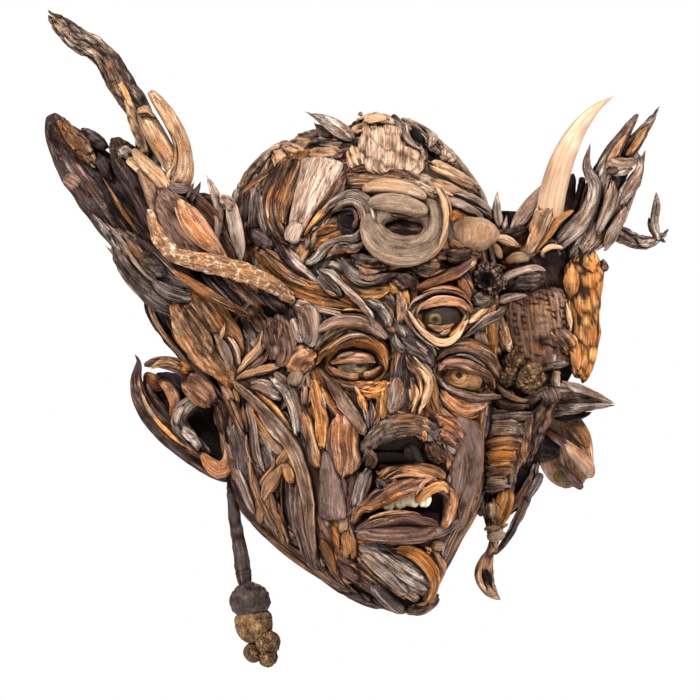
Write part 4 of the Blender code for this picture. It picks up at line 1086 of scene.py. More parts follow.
def makeNoseAndMouth():
    lay("nose_bridge", "dark_weathered", ((407, 346, 14), (403, 370, 22), (401, 394, 26), (401, 420, 20)), 7,
        **smooth, tint=0.2, dusk=0.3)
    lay("nose_cap", "rough_bark", ((366, 446, 14), (380, 432, 24), (402, 424, 26), (424, 428, 24),
          (436, 444, 14)), 7, groove=0.4, lump=0.7, lumpSize=4.5, tint=0.35, dusk=0.3)
    lay("upper_lip", "lip_wood", ((356, 526, 8), (362, 506, 18), (380, 491, 22), (404, 481, 21), (427, 480, 18),
                                  (443, 488, 14), (448, 506, 6)), 11, groove=0.4, cracks=3, tint=0.3)
    tooth = 8.8 * mm / unit
    roots = []
    for number in range(4):
        across = 388 + number * tooth * 0.86
        top, tip = 488 - number * 1.2, 511 - number * 1.6
        roots.append(grow(f"tooth_{number}", "tooth_pebble", freeRows((
            (across, top, 214, tooth * 0.8, 9), (across, (top + tip) / 2, 217, tooth * 1.02, 9),
            (across, tip, 219, tooth * 0.9, 7))), ends=(4, 3), corner=2.6, swell=0.05, groove=0.08, mesh=0.5))
    joined("teeth", roots, ["teeth"])
    lay("lower_lip", "lip_wood", ((357, 526, 8), (374, 523, 15), (398, 521, 18), (420, 522, 15), (436, 524, 7)),
        11, groove=0.3, cracks=2, swell=0.12, tint=0.2)
    lay("chin_slab", "grey_driftwood", ((356, 540, 20), (372, 552, 34), (392, 565, 40), (412, 578, 30),
                                        (424, 586, 12)), 8, **ribbed, cracks=4)
    glueStrips("nose", (
        ("orange", 6, 1, ((397, 348, 8), (399, 364, 18), (396, 384, 14)), chunk, {"tint": 0.3}),
        ("tan", 6, 5.5, ((409, 352, 4), (414, 366, 8), (420, 382, 10), (418, 398, 10), (412, 420, 5)), splinter,
         {"tint": 1.0}),
        ("tan", 5, 4, ((410, 384, 3), (412, 398, 7), (408, 418, 3)), splinter, {"tint": 1.3}),
        ("brown", 5, 4.5, ((405, 352, 4), (408, 366, 7), (413, 380, 6), (414, 398, 6), (405, 416, 4)),
         splinter),
        ("brown", 6, 2, ((420, 362, 4), (428, 382, 8), (431, 402, 9), (437, 420, 5)), splinter),
        ("dark", 7, 4, ((400, 382, 10), (399, 394, 20), (397, 408, 20), (395, 418, 10)), polished,
         {"tint": 0.9}),
        ("orange", 6, 1.5, ((388, 388, 6), (388, 406, 12), (385, 424, 10)), chunk),
        ("brown", 6, 0.5, ((392, 414, 10), (400, 420, 16), (414, 420, 12)), chunk),
        ("bark", 5, -0.3, ((373, 440, 14), (384, 435, 20), (400, 430, 20), (416, 427, 14)), barky,
         {"ends": (5, 3), "tint": 0.35, "lump": 1.0, "lumpSize": 5}),
        ("lip", 4, 1.4, ((382, 431, 6), (396, 426, 10), (410, 424, 6)), torn, {"tint": 0.7}),
        ("orange", 6, 0.8, ((416, 418, 6), (421, 424, 11), (424, 432, 7)), barky, {"tint": 1.0}),
        ("orange", 5, 1, ((412, 428, 5), (420, 434, 9), (418, 442, 5)), barky),
        ("lip", 8, 1, ((428, 420, 12), (440, 425, 22), (452, 433, 20), (459, 442, 10)), barky,
         {"tint": 0.5, "lump": 1.1, "lumpSize": 3.5}),
        ("lip", 7, 1, ((430, 432, 8), (442, 436, 14), (452, 444, 9)), barky,
         {"tint": 0.6, "lump": 1.0, "lumpSize": 3}),
        ("brown", 8, 0.5, ((422, 438, 12), (431, 448, 20), (440, 460, 12)), barky,
         {"tint": 0.3, "lumpSize": 3.5}),
        # dark pieces painted in shade under the nose tip, in the nostrils and in the hollow beside them
        ("dark", 6, 0.5, ((406, 442, 12), (414, 454, 18), (424, 464, 10)), barky, {"dusk": 0.7}),
        ("dark", 4, 1.5, ((374, 450, 12), (386, 453, 24), (404, 454, 26), (420, 453, 18)), smooth,
         {"dusk": 1.0}),
        ("dark", 4, 0, ((430, 464, 10), (440, 460, 14), (446, 470, 8)), smooth, {"dusk": 0.9}),
        ("lip", 6, 1, ((374, 448, 6), (370, 458, 10), (374, 468, 8)), splinter),
        ("brown", 7, 1, ((376, 468, 10), (388, 473, 20), (396, 484, 14)), torn),
        ("brown", 7, 3, ((376, 476, 10), (392, 471, 16), (410, 468, 20), (430, 471, 18), (444, 481, 10)), torn,
         {"tint": 0.9}),
        ("lip", 6, 4.5, ((384, 478, 4), (400, 474, 8), (420, 473, 8), (436, 480, 4)), torn, {"tint": 0.8}),
        ("bark", 6, 2, ((374, 476, 8), (384, 484, 14), (378, 496, 8)), barky, {"tint": 0.2}),
        ("grey", 6, 2, ((370, 464, 9), (366, 480, 12), (359, 500, 9), (355, 512, 3)), sharpEnd),
        ("orange", 7, 4.5, ((358, 520, 4), (366, 505, 8), (382, 493, 11), (402, 485, 12), (418, 484, 6)),
         smooth, {"tint": 0.65, "ply": 3.6}),
        ("brown", 7, 3, ((360, 508, 5), (372, 494, 10), (388, 486, 10), (404, 480, 8)), ribbed, {"tint": 0.4}),
        ("orange", 7, 5, ((411, 492, 5), (423, 484, 14), (436, 482, 12), (441, 488, 4)), smooth, {"tint": 0.6}),
        ("lip", 8, 2, ((442, 482, 8), (448, 498, 14), (444, 514, 12), (436, 526, 6)), smooth),
        ("dark", 9, 3, ((360, 528, 8), (372, 528, 17), (392, 529, 21), (414, 529, 20), (431, 526, 12)), smooth,
         {"ply": 6, "tint": 0.6}),
        ("brown", 5, 7, ((366, 522, 3), (382, 520, 6), (402, 520, 6), (420, 521, 3)), splinter),
    ))
    glueStrips("chin", (
        ("orange", 8, 1.5, ((388, 543, 6), (404, 549, 13), (420, 562, 16), (427, 580, 15), (418, 602, 12)),
         ribbed),
        ("lip", 8, 0, ((426, 542, 5), (434, 556, 10), (437, 572, 10), (432, 588, 5)), splinter),
        ("grey", 8, 1, ((372, 574, 8), (384, 588, 17), (397, 600, 18), (408, 607, 9)), ribbed),
        ("brown", 8, 2, ((402, 600, 8), (412, 603, 15), (424, 600, 11), (431, 590, 4)), torn),
        ("orange", 5, 2.5, ((412, 540, 3), (415, 547, 7), (421, 556, 3)), splinter),
        ("orange", 5, 3, ((420, 539, 3), (424, 546, 7), (424, 556, 3)), splinter),
        ("stone", 7, 3, ((427, 539, 6), (432, 540, 8), (437, 541, 6)), smooth),
        ("dark", 5, 0.5, ((384, 540, 6), (400, 541, 10), (414, 544, 6)), smooth),
        ("grey", 5, 3.5, ((362, 550, 8), (376, 562, 15), (392, 574, 15), (408, 590, 8)), ribbed, {"tint": 0.9}),
        ("brown", 7, 0, ((474, 502, 8), (464, 520, 14), (452, 540, 15), (442, 556, 6)), ribbed),
        ("grey", 7, 0, ((462, 506, 6), (452, 524, 12), (442, 544, 14), (437, 562, 6)), ribbed),
        ("dark", 6, 0, ((342, 548, 8), (356, 566, 14), (372, 584, 12), (384, 596, 5)), ribbed),
    ), widen=1.15, straight=0.35)


# Cheeks and temples

def makeCheeks():
    lay("cheek_slab_right", "smooth_tan", ((450, 416, 16), (466, 436, 32), (470, 462, 36), (464, 494, 30),
                                           (452, 530, 12)), 8, **polished, tint=0.05, dusk=0.34)
    lay("knobbed_stick", "smooth_tan", ((328, 446, 14), (331, 470, 20), (334, 495, 30), (335, 520, 36)), 8,
        ends=(3, 4), groove=0.35, over=0.5, swell=0.12, ply=0, tint=0.05, dusk=0.3)
    glueStrips("cheek_left", (
        ("grey", 6, 0, ((246, 382, 6), (266, 376, 11), (284, 371, 8)), torn),
        ("grey", 7, 1, ((250, 386, 7), (270, 390, 16), (288, 400, 8)), ribbed),
        ("grey", 7, 1, ((274, 374, 8), (290, 390, 13), (300, 410, 13), (303, 438, 9)), sawn),
        ("orange", 5, 2.5, ((258, 388, 2), (276, 406, 6), (298, 434, 4)), splinter),
        ("orange", 5, 2, ((250, 402, 2), (266, 426, 7), (282, 446, 3)), splinter),
        ("tan", 7, 5, ((239, 380, 5), (262, 403, 9), (285, 428, 10), (300, 450, 13), (309, 475, 12),
                       (314, 500, 10), (316, 528, 9), (324, 556, 5)), ribbed, {"tint": 0.3}),
        ("grey", 7, 3, ((262, 410, 4), (281, 431, 9), (297, 446, 7)), smooth, sharpStart),
        ("brown", 6, 1.5, ((292, 384, 5), (300, 398, 8), (308, 420, 9), (314, 452, 6)), ribbed),
        ("tan", 6, 3, ((307, 385, 5), (308, 397, 6), (308, 409, 6)), sawn),
        ("tan", 5, 3, ((313, 388, 3), (313, 398, 4), (312, 407, 4)), sawn),
        ("brown", 7, 2, ((306, 408, 8), (312, 430, 12), (318, 456, 12), (324, 470, 6)), ribbed),
        ("orange", 7, 3, ((313, 380, 6), (321, 402, 11), (325, 428, 13), (325, 452, 7)), ribbed),
        ("tan", 5, 4.5, ((321, 392, 3), (325, 402, 8), (329, 415, 3)), splinter),
        ("tan", 7, 4, ((318, 369, 5), (334, 391, 11), (352, 412, 12), (373, 437, 7)), ribbed, sharpStart),
        ("orange", 6, 2.5, ((318, 384, 4), (338, 410, 9), (356, 424, 9), (370, 436, 4)), ribbed, sharpStart),
        ("orange", 6, 1, ((340, 384, 6), (358, 390, 14), (380, 392, 16), (396, 384, 8)), barky),
        ("orange", 5, 2.5, ((353, 390, 3), (364, 404, 7), (372, 420, 3)), splinter),
        ("grey", 5, 3.5, ((360, 396, 3), (368, 412, 7), (374, 434, 3)), splinter),
        ("grey", 5, 2.5, ((370, 398, 3), (375, 414, 7), (375, 432, 3)), splinter),
        ("brown", 5, 2, ((380, 398, 3), (380, 416, 7), (376, 434, 3)), splinter),
        ("orange", 5, 1, ((376, 394, 6), (386, 408, 9), (382, 424, 4)), torn),
        ("lip", 8, 2.5, ((342, 406, 10), (347, 428, 30), (350, 450, 30), (346, 470, 15), (344, 480, 6)),
         {"ends": (2, 1.8), "groove": 0.35, "grooveSize": 2.5, "grooveRun": 16}),
        ("brown", 6, 2, ((368, 440, 8), (373, 452, 12), (370, 464, 7)), torn),
        ("brown", 7, 0.5, ((328, 440, 12), (332, 462, 22), (338, 486, 22), (340, 504, 12)), ribbed),
        ("dark", 6, 0, ((350, 476, 12), (352, 496, 20), (350, 520, 16)), ribbed),
        ("grey", 7, 3.5, ((371, 464, 8), (364, 482, 11), (356, 502, 8), (354, 512, 2)), sharpEnd),
        ("dark", 7, 1, ((300, 458, 12), (300, 484, 24), (303, 514, 28), (311, 542, 20), (320, 568, 8)), ribbed),
        ("orange", 6, 4, ((291, 460, 5), (294, 470, 12), (297, 482, 6)), smooth),
        ("tan", 7, 3, ((294, 458, 6), (282, 472, 12), (272, 488, 12), (268, 504, 6)), splinter),
        ("brown", 7, 1.5, ((270, 484, 8), (276, 504, 17), (286, 526, 14), (292, 544, 5)), ribbed),
        ("grey", 6, 0, ((262, 440, 14), (270, 456, 24), (272, 474, 14)), ribbed),
        ("grey", 6, 1, ((249, 398, 6), (257, 424, 12), (260, 450, 12), (268, 474, 5)), ribbed),
        ("brown", 6, 2, ((219, 380, 4), (229, 394, 10), (241, 418, 13), (251, 441, 5)), ribbed),
        ("brown", 6, 2.5, ((252, 448, 5), (258, 476, 9), (268, 502, 10), (282, 526, 8), (290, 544, 3)),
         splinter),
        ("grey", 7, 0, ((236, 418, 10), (242, 440, 20), (246, 464, 18), (250, 486, 8)), ribbed),
        ("grey", 7, 1.5, ((240, 462, 8), (246, 478, 17), (254, 498, 15), (262, 514, 6)), ribbed),
        ("dark", 6, 0, ((230, 470, 8), (244, 498, 12), (260, 524, 12), (278, 544, 5)), ribbed),
        ("grey", 6, 0.5, ((262, 524, 5), (282, 546, 11), (302, 560, 10), (320, 572, 4)), splinter),
        ("brown", 6, 0, ((284, 548, 6), (304, 566, 11), (326, 578, 8)), splinter),
        ("orange", 6, 2.5, ((323, 531, 4), (333, 549, 8), (344, 571, 4)), sawn),
        ("brown", 7, 2, ((349, 520, 8), (352, 538, 15), (353, 560, 10)), torn),
        ("orange", 6, 1, ((334, 520, 6), (342, 540, 10), (346, 556, 5)), splinter),
        ("lip", 7, 2, ((342, 562, 8), (354, 568, 15), (368, 576, 8)), torn),
        ("dark", 6, 0, ((322, 560, 8), (336, 576, 13), (356, 588, 8)), ribbed),
        ("brown", 6, 0, ((328, 580, 5), (346, 592, 10), (364, 598, 6)), splinter),
        ("dark", 6, 0, ((360, 586, 6), (374, 598, 10), (390, 606, 5)), splinter),
    ), widen=1.26, straight=0.45)
    glueStrips("temple_left", (
        ("dark", 9, 1, ((276, 316, 14), (282, 332, 32), (284, 352, 34), (276, 366, 16)), barky),
        ("brown", 6, 5, ((286, 318, 6), (284, 328, 14), (282, 340, 12), (286, 350, 5)), barky),
        ("tan", 6, 2.5, ((266, 326, 4), (265, 345, 9), (253, 361, 10), (238, 378, 5)), splinter),
        ("brown", 6, 2.5, ((272, 340, 3), (271, 356, 7), (258, 368, 8), (244, 376, 3)), splinter),
        ("tan", 5, 3, ((284, 366, 5), (268, 370, 8), (252, 374, 6), (240, 381, 3)), smooth),
        ("grey", 7, 3, ((302, 308, 10), (312, 318, 22), (314, 332, 22), (308, 345, 9)), ribbed),
        ("lip", 7, 3, ((318, 346, 10), (305, 356, 24), (298, 368, 22), (292, 378, 10)),
         {"groove": 0.3, "rings": 0.7, "ringGap": 2.3, "ends": (3, 3)}),
        ("stone", 7, 4, ((303, 372, 8), (299, 380, 13), (297, 390, 11)), smooth),
        ("grey", 6, 1, ((240, 322, 3), (250, 336, 6), (258, 348, 3)), splinter),
        ("brown", 5, 1, ((234, 330, 3), (246, 346, 6), (252, 360, 3)), splinter),
        ("dark", 6, 0, ((252, 312, 10), (262, 322, 14), (268, 336, 10)), ribbed),
        ("dark", 6, 0, ((232, 300, 10), (246, 318, 14), (256, 338, 10)), ribbed),
        ("dark", 5, 0, ((300, 392, 5), (296, 400, 8), (288, 406, 4)), splinter),
    ), widen=1.22, straight=0.35)
    glueStrips("cheek_right", (
        ("lip", 8, 1.5, ((434, 388, 8), (443, 402, 18), (458, 411, 24), (474, 406, 16), (483, 398, 8)), ribbed,
         {"tint": 0.75}),
        ("orange", 6, 2, ((436, 398, 4), (448, 412, 8), (464, 417, 8), (478, 408, 4)), ribbed,
         {"tint": 0.1, "dusk": 0.3}),
        ("orange", 6, 1, ((452, 424, 6), (464, 424, 13), (476, 432, 8)), smooth),
        ("tan", 6, 1, ((456, 440, 10), (455, 464, 22), (451, 490, 22), (445, 516, 10)), polished,
         {"tint": 0.05, "dusk": 0.36}),
        ("brown", 5, 2, ((446, 462, 4), (447, 480, 8), (443, 500, 6)), splinter, {"tint": 0.4}),
        ("dark", 6, 0, ((482, 404, 8), (484, 430, 13), (482, 460, 12), (478, 490, 6)), ribbed),
        ("brown", 6, 0, ((476, 470, 6), (474, 494, 12), (466, 516, 6)), ribbed),
        ("orange", 6, 2, ((488, 302, 6), (484, 316, 14), (486, 336, 16), (488, 356, 8)), smooth),
        ("lip", 6, 4, ((492, 330, 5), (495, 346, 10), (499, 364, 5)), smooth),
        ("grey", 7, 3, ((448, 345, 4), (464, 334, 9), (482, 320, 12), (500, 302, 11), (516, 297, 6)), ribbed),
        ("tan", 6, 1, ((464, 326, 6), (474, 316, 10), (484, 304, 5)), smooth),
        ("brown", 6, 0, ((470, 300, 8), (480, 312, 12), (488, 328, 8)), torn),
    ))


# Forehead and skull

def makeForehead():
    lay("orange_band", "orange_heartwood", ((252, 250, 10), (278, 268, 17), (306, 286, 18), (336, 296, 16),
                                            (364, 314, 8)), 8, **ribbed)
    glueStrips("forehead", (
        ("orange", 6, 3, ((262, 262, 4), (282, 282, 9), (306, 296, 10), (330, 305, 10), (360, 313, 4)), ribbed),
        ("tan", 6, 4, ((262, 248, 4), (276, 260, 8), (296, 278, 8), (318, 290, 5)), splinter),
        ("dark", 6, 2.5, ((277, 242, 4), (293, 262, 9), (312, 278, 9), (326, 288, 4)), splinter),
        ("grey", 6, 3.5, ((284, 244, 3), (300, 264, 7), (318, 280, 7), (330, 290, 3)), splinter),
        ("grey", 6, 3, ((298, 303, 10), (312, 308, 12), (330, 313, 8), (350, 320, 3)), ribbed),
        ("grey", 6, 2, ((296, 318, 5), (300, 330, 9), (306, 343, 5)), smooth),
        ("tan", 7, 3.5, ((320, 330, 5), (333, 324, 10), (350, 321, 11), (370, 324, 10), (390, 336, 4)), smooth),
        ("grey", 7, 4.5, ((318, 272, 7), (328, 280, 14), (338, 291, 12), (346, 300, 5)), ribbed),
        ("grey", 6, 6, ((320, 270, 4), (336, 277, 6), (352, 295, 7), (366, 312, 6), (379, 327, 3)), ribbed,
         {"tint": 1.0}),
        ("orange", 6, 2, ((341, 274, 5), (352, 288, 13), (370, 294, 15), (392, 291, 8)), ribbed),
        ("grey", 7, 4.5, ((342, 258, 4), (350, 270, 9), (364, 281, 11), (380, 281, 10), (393, 274, 4)), ribbed),
        ("dark", 6, 2, ((350, 258, 8), (368, 264, 14), (390, 266, 10)), barky),
        ("brown", 6, 3.5, ((356, 266, 3), (368, 274, 6), (386, 272, 4)), splinter),
        ("grey", 6, 2, ((362, 300, 4), (374, 306, 10), (386, 318, 11), (390, 332, 5)), ribbed),
        ("dark", 6, 1, ((372, 298, 6), (386, 304, 12), (396, 316, 9), (400, 330, 5)), ribbed),
        ("tan", 6, 4, ((397, 291, 5), (400, 306, 9), (398, 328, 6)), torn),
        ("grey", 6, 2, ((392, 330, 5), (399, 345, 10), (410, 352, 8)), ribbed),
        ("grey", 7, 1, ((400, 334, 8), (410, 344, 15), (422, 352, 16), (430, 364, 7)), ribbed,
         {"tint": 0.2, "dusk": 0.3}),
        ("grey", 5, 2.5, ((408, 336, 3), (418, 346, 6), (428, 354, 4)), splinter, {"tint": 0.9}),
        ("lip", 7, 5, ((411, 292, 4), (424, 286, 9), (440, 279, 10), (456, 271, 8), (470, 257, 6)), ribbed),
        ("lip", 7, 3.5, ((452, 276, 8), (459, 290, 11), (464, 306, 6)), ribbed),
        ("tan", 5, 6, ((456, 272, 5), (464, 265, 6), (470, 258, 3)), splinter),
        ("bark", 8, 1, ((410, 262, 8), (426, 268, 19), (442, 268, 14)), barky),
        ("dark", 7, 2.5, ((386, 265, 5), (408, 260, 8), (428, 256, 8), (444, 250, 5)), torn),
        ("brown", 7, 1, ((440, 256, 7), (456, 258, 13), (470, 250, 8)), torn),
        ("dark", 7, 0.5, ((392, 276, 8), (404, 284, 15), (410, 294, 8)), barky),
        ("bark", 7, 1, ((466, 296, 6), (478, 302, 13), (490, 296, 8)), barky),
        ("brown", 6, 0, ((444, 240, 8), (462, 252, 13), (480, 256, 8)), ribbed),
        # the pink and grey wave that runs into the hollow
        ("grey", 7, 4, ((305, 268, 4), (318, 262, 9), (331, 248, 9), (345, 244, 8), (359, 241, 9),
                        (373, 224, 5)), ribbed),
        ("lip", 6, 4.5, ((326, 262, 4), (340, 251, 8), (356, 252, 8), (368, 246, 4)), ribbed),
        ("grey", 6, 5, ((333, 252, 3), (345, 249, 5), (360, 249, 5), (372, 238, 3)), splinter),
    ), widen=1.34, straight=0.4)


def makeSkull():
    lay("crown_plate", "rough_bark", ((388, 122, 46), (391, 140, 66), (392, 162, 70), (390, 182, 54)), 9,
        ends=(5, 6), corner=3.5, groove=0.12, lump=1.5, lumpSize=7.5, ply=0, tint=0.95, mesh=0.9)
    lay("crown_bark_right", "rough_bark", ((424, 134, 22), (446, 156, 34), (466, 184, 34), (482, 214, 18)), 10,
        ends=(3, 4), corner=3, groove=1.2, grooveSize=2.8, grooveRun=9, cracks=3, tint=1.0)
    lay("crown_bark_left", "rough_bark", ((236, 196, 20), (246, 176, 32), (264, 158, 34), (290, 140, 24)), 10,
        ends=(3, 4), corner=3, lump=1.2, lumpSize=4.5, groove=0.5, tint=0.8)
    lay("grey_wedge", "grey_driftwood", ((326, 160, 52), (316, 186, 40), (305, 214, 28), (297, 246, 14)), 8,
        ends=(6, 4), corner=3, groove=0.3, over=1, tint=0.95, ply=9, ragged=0.05)
    loop("curl_knot", "dark_weathered", 354, 224, 12, 11, 12, 14, lift=2, groove=0.5, tint=0.1)
    loop("hollow_knot", "smooth_stone_grey", 404, 230, 28, 20, 26, 22, lift=4, tilt=-0.1,
         groove=0.12, tint=0.3)
    spot, normal = onHead(467, 236)
    keep(lump("sandy_ovoid", "smooth_stone_grey", spot + normal * 4 * unit, (28 * unit, 15 * unit, 18 * unit),
              bumps=0.05, tint=0.6), ["sandy_ovoid"])
    spot, normal = onHead(481, 281)
    centre = spot + normal * 6 * unit
    hole = {"radius": 5.5, "depth": 7}
    knob = lump("rough_knob", "rough_bark", centre, (19 * unit, 15 * unit, 18 * unit), mesh=0.8, bumps=0.16,
                bumpSize=5, pits=1.2, pitSize=3.2)
    co = placesOf(knob)
    away = np.linalg.norm(co[:, [0, 2]] - centre[[0, 2]], axis=1) / mm
    sunk = np.clip(1 - away / hole["radius"], 0, 1) ** 0.5 * (co[:, 1] < spot[1])
    co[:, 1] += sunk * hole["depth"] * mm
    setPlaces(knob, co)
    # painted shade: the hole in the knob is dark inside
    repaint(knob, "hollow", np.maximum(painted(knob, "hollow"), sunk > 0.2))
    keep(knob, ["rough_knob"])
    glueStrips("skull", (
        ("grey", 6, 3, ((412, 130, 5), (418, 142, 12), (427, 152, 13), (437, 160, 6)), ribbed, {"tint": 0.9}),
        ("tan", 6, 2, ((424, 142, 6), (434, 151, 13), (443, 161, 8)), torn, {"tint": 0.6}),
        ("grey", 8, 2, ((320, 140, 14), (332, 139, 22), (346, 140, 16)), chunk, {"tint": 1.0}),
        ("tan", 7, 1.5, ((308, 158, 12), (326, 157, 18), (346, 156, 13)), chunk, {"tint": 0.7}),
        ("grey", 6, 1.5, ((318, 148, 6), (332, 149, 9), (347, 149, 6)), torn, {"tint": 0.5}),
        ("tan", 7, 1, ((286, 146, 10), (298, 148, 24), (310, 154, 22)), chunk, {"tint": 1.2}),
        ("tan", 6, 0.5, ((276, 150, 8), (284, 160, 20), (288, 174, 12)), chunk, {"tint": 1.0}),
        ("grey", 6, 1.5, ((284, 136, 4), (302, 133, 9), (320, 131, 6)), torn, {"tint": 1.2}),
        ("grey", 5, 2.5, ((290, 139, 3), (304, 138, 6), (316, 136, 3)), torn, {"tint": 1.4}),
        ("brown", 8, 1, ((294, 158, 18), (284, 180, 28), (275, 206, 23), (280, 230, 16), (294, 250, 6)), ribbed,
         {"tint": 0.3}),
        ("brown", 7, 2, ((304, 164, 12), (295, 184, 16), (287, 208, 14), (287, 232, 9)), ribbed, {"tint": 0.5}),
        ("lip", 6, 2.5, ((288, 168, 4), (277, 190, 7), (272, 214, 6), (280, 238, 4)), splinter),
        ("grey", 8, 3.5, ((303, 226, 12), (298, 236, 17), (294, 245, 14)), polished, {"tint": 1.2}),
        ("brown", 6, 1, ((346, 170, 10), (334, 192, 24), (320, 216, 20), (308, 240, 7)), ribbed),
        ("tan", 7, 1, ((344, 178, 20), (368, 178, 32), (396, 182, 32), (424, 192, 18)), ribbed,
         {"tint": 0.3, "ply": 2.4}),
        ("brown", 6, 2.5, ((346, 176, 6), (370, 173, 12), (398, 176, 12), (422, 188, 6)), ribbed),
        ("orange", 6, 1.5, ((344, 188, 6), (366, 187, 12), (392, 190, 10), (410, 196, 4)), ribbed,
         {"tint": 0.3}),
        ("orange", 6, 4, ((304, 242, 4), (315, 228, 8), (328, 214, 8), (346, 201, 8), (366, 196, 4)), splinter),
        ("orange", 5, 0.5, ((308, 252, 12), (324, 240, 26), (342, 236, 24), (358, 240, 12)), ribbed,
         {"tint": 0.6}),
        ("orange", 5, 2, ((312, 240, 5), (326, 232, 10), (344, 230, 6)), splinter, {"tint": 0.2}),
        ("grey", 8, 5, ((324, 222, 4), (337, 209, 11), (354, 202, 13), (369, 209, 12), (375, 227, 11),
                        (367, 244, 5)), ribbed, {"tint": 0.9, "ply": 2}),
        ("grey", 7, 7, ((333, 220, 3), (344, 212, 6), (356, 210, 8), (366, 219, 8), (366, 234, 4)), ribbed,
         {"tint": 0.7, "ply": 2}),
        # dark pieces painted in shade inside the curl
        ("dark", 6, 7, ((350, 215, 4), (358, 219, 6), (359, 229, 6), (352, 235, 4)), ribbed, {"dusk": 0.5}),
        ("dark", 4, 4, ((340, 224, 6), (350, 226, 14), (356, 232, 8)), smooth, {"dusk": 1.0}),
        ("stone", 10, 6.5, ((364, 199, 8), (382, 196, 14), (404, 199, 15), (424, 208, 9)), polished,
         {"tint": 0.8}),
        ("stone", 10, 7.5, ((370, 213, 10), (386, 211, 16), (406, 214, 17), (426, 220, 10)), polished,
         {"tint": 0.45}),
        ("stone", 9, 6.5, ((369, 219, 10), (371, 234, 19), (382, 249, 24), (402, 256, 26), (422, 251, 22),
                           (433, 237, 18), (432, 220, 14), (424, 207, 9)), polished, {"tint": 0.25}),
        # painted shade: a dark piece inside the hollow knot
        ("dark", 4, 4, ((388, 238, 12), (404, 241, 18), (420, 241, 10)), smooth, {"dusk": 1.0}),
        ("tan", 5, 15, ((423, 193, 4), (435, 210, 6), (438, 230, 6), (431, 256, 3)), splinter, {"tint": 0.9}),
        ("grey", 6, 3, ((380, 128, 6), (392, 140, 11), (404, 154, 6)), ribbed, {"tint": 1.1}),
        ("grey", 6, 4.5, ((386, 124, 4), (399, 136, 8), (408, 152, 4)), ribbed, {"tint": 0.7}),
        ("grey", 7, 5.5, ((396, 124, 5), (412, 130, 12), (425, 144, 12), (426, 158, 5)), ribbed, {"tint": 1.1}),
        ("grey", 7, 5, ((400, 132, 4), (404, 146, 8), (412, 156, 8), (422, 160, 4)), ribbed, {"tint": 0.9}),
        # painted shade on a dark piece between the crown strips
        ("dark", 6, 6, ((408, 138, 5), (413, 145, 8), (417, 152, 5)), smooth, {"dusk": 0.8}),
        ("bark", 9, 1.5, ((404, 122, 12), (422, 134, 24), (436, 150, 26), (444, 170, 16)), barky,
         {"tint": 1.0}),
        ("tan", 6, 3, ((356, 128, 7), (368, 124, 13), (384, 119, 7)), torn, {"tint": 1.4}),
        ("tan", 6, 2, ((352, 140, 8), (362, 134, 16), (376, 132, 10)), chunk, {"tint": 1.2}),
        ("tan", 6, 1.5, ((350, 150, 8), (356, 164, 16), (362, 176, 8)), chunk, {"tint": 1.1}),
        ("tan", 7, 2, ((424, 166, 10), (440, 174, 18), (458, 184, 15), (476, 196, 6)), chunk, {"tint": 1.4}),
        ("grey", 7, 3, ((446, 198, 4), (462, 203, 9), (480, 213, 10), (492, 224, 4)), ribbed, {"tint": 1.4}),
        ("grey", 7, 3, ((438, 203, 4), (452, 208, 9), (468, 216, 8), (478, 226, 3)), ribbed, {"tint": 1.1}),
        ("tan", 6, 1, ((426, 184, 8), (446, 192, 17), (466, 202, 14), (484, 212, 5)), chunk, {"tint": 1.2}),
        ("bark", 7, 0, ((404, 178, 8), (424, 186, 18), (442, 198, 14)), barky, {"tint": 1.0}),
        ("grey", 8, 2, ((226, 192, 8), (231, 212, 17), (232, 234, 16), (230, 258, 6)), ribbed, {"tint": 1.0}),
        ("grey", 8, 3, ((244, 190, 7), (242, 212, 16), (241, 238, 14), (243, 266, 4)), ribbed, {"tint": 1.3}),
        ("dark", 7, 1, ((253, 190, 5), (251, 208, 9), (249, 228, 5)), splinter),
        ("grey", 7, 2, ((262, 194, 6), (265, 208, 11), (268, 226, 9), (270, 238, 5)), ribbed, {"tint": 0.85}),
        ("dark", 7, 0, ((268, 186, 6), (262, 206, 11), (258, 228, 11), (262, 246, 6)), ribbed),
        ("brown", 7, 2, ((252, 232, 7), (264, 240, 14), (278, 250, 7)), barky),
        ("tan", 5, 5, ((306, 238, 3), (311, 246, 6), (308, 256, 3)), splinter),
        ("dark", 7, 0, ((256, 196, 10), (244, 222, 14), (238, 248, 8)), ribbed),
        ("bark", 7, 0, ((232, 206, 8), (226, 226, 14), (224, 250, 8)), barky),
    ), widen=1.14, straight=0.3)
    glueLimbs("crown", (
        ("grey", ((304, 112, 140, 2, 2), (314, 116, 140, 8, 7), (328, 123, 141, 14, 11),
                  (342, 132, 142, 17, 12), (354, 140, 142, 14, 11)), polished, {"ends": (1.6, 3), "tint": 0.6,
              "ply": 3.5}),
        ("dark", ((312, 121, 136, 3, 4), (320, 129, 137, 10, 8), (334, 138, 138, 12, 9)), splinter),
        ("tan", ((356, 127, 134, 4, 5), (368, 121, 136, 11, 7), (382, 119, 136, 10, 6), (392, 122, 134, 5, 5)),
         torn, {"tint": 1.4}),
    ))


# The branches, roots and shards at the left

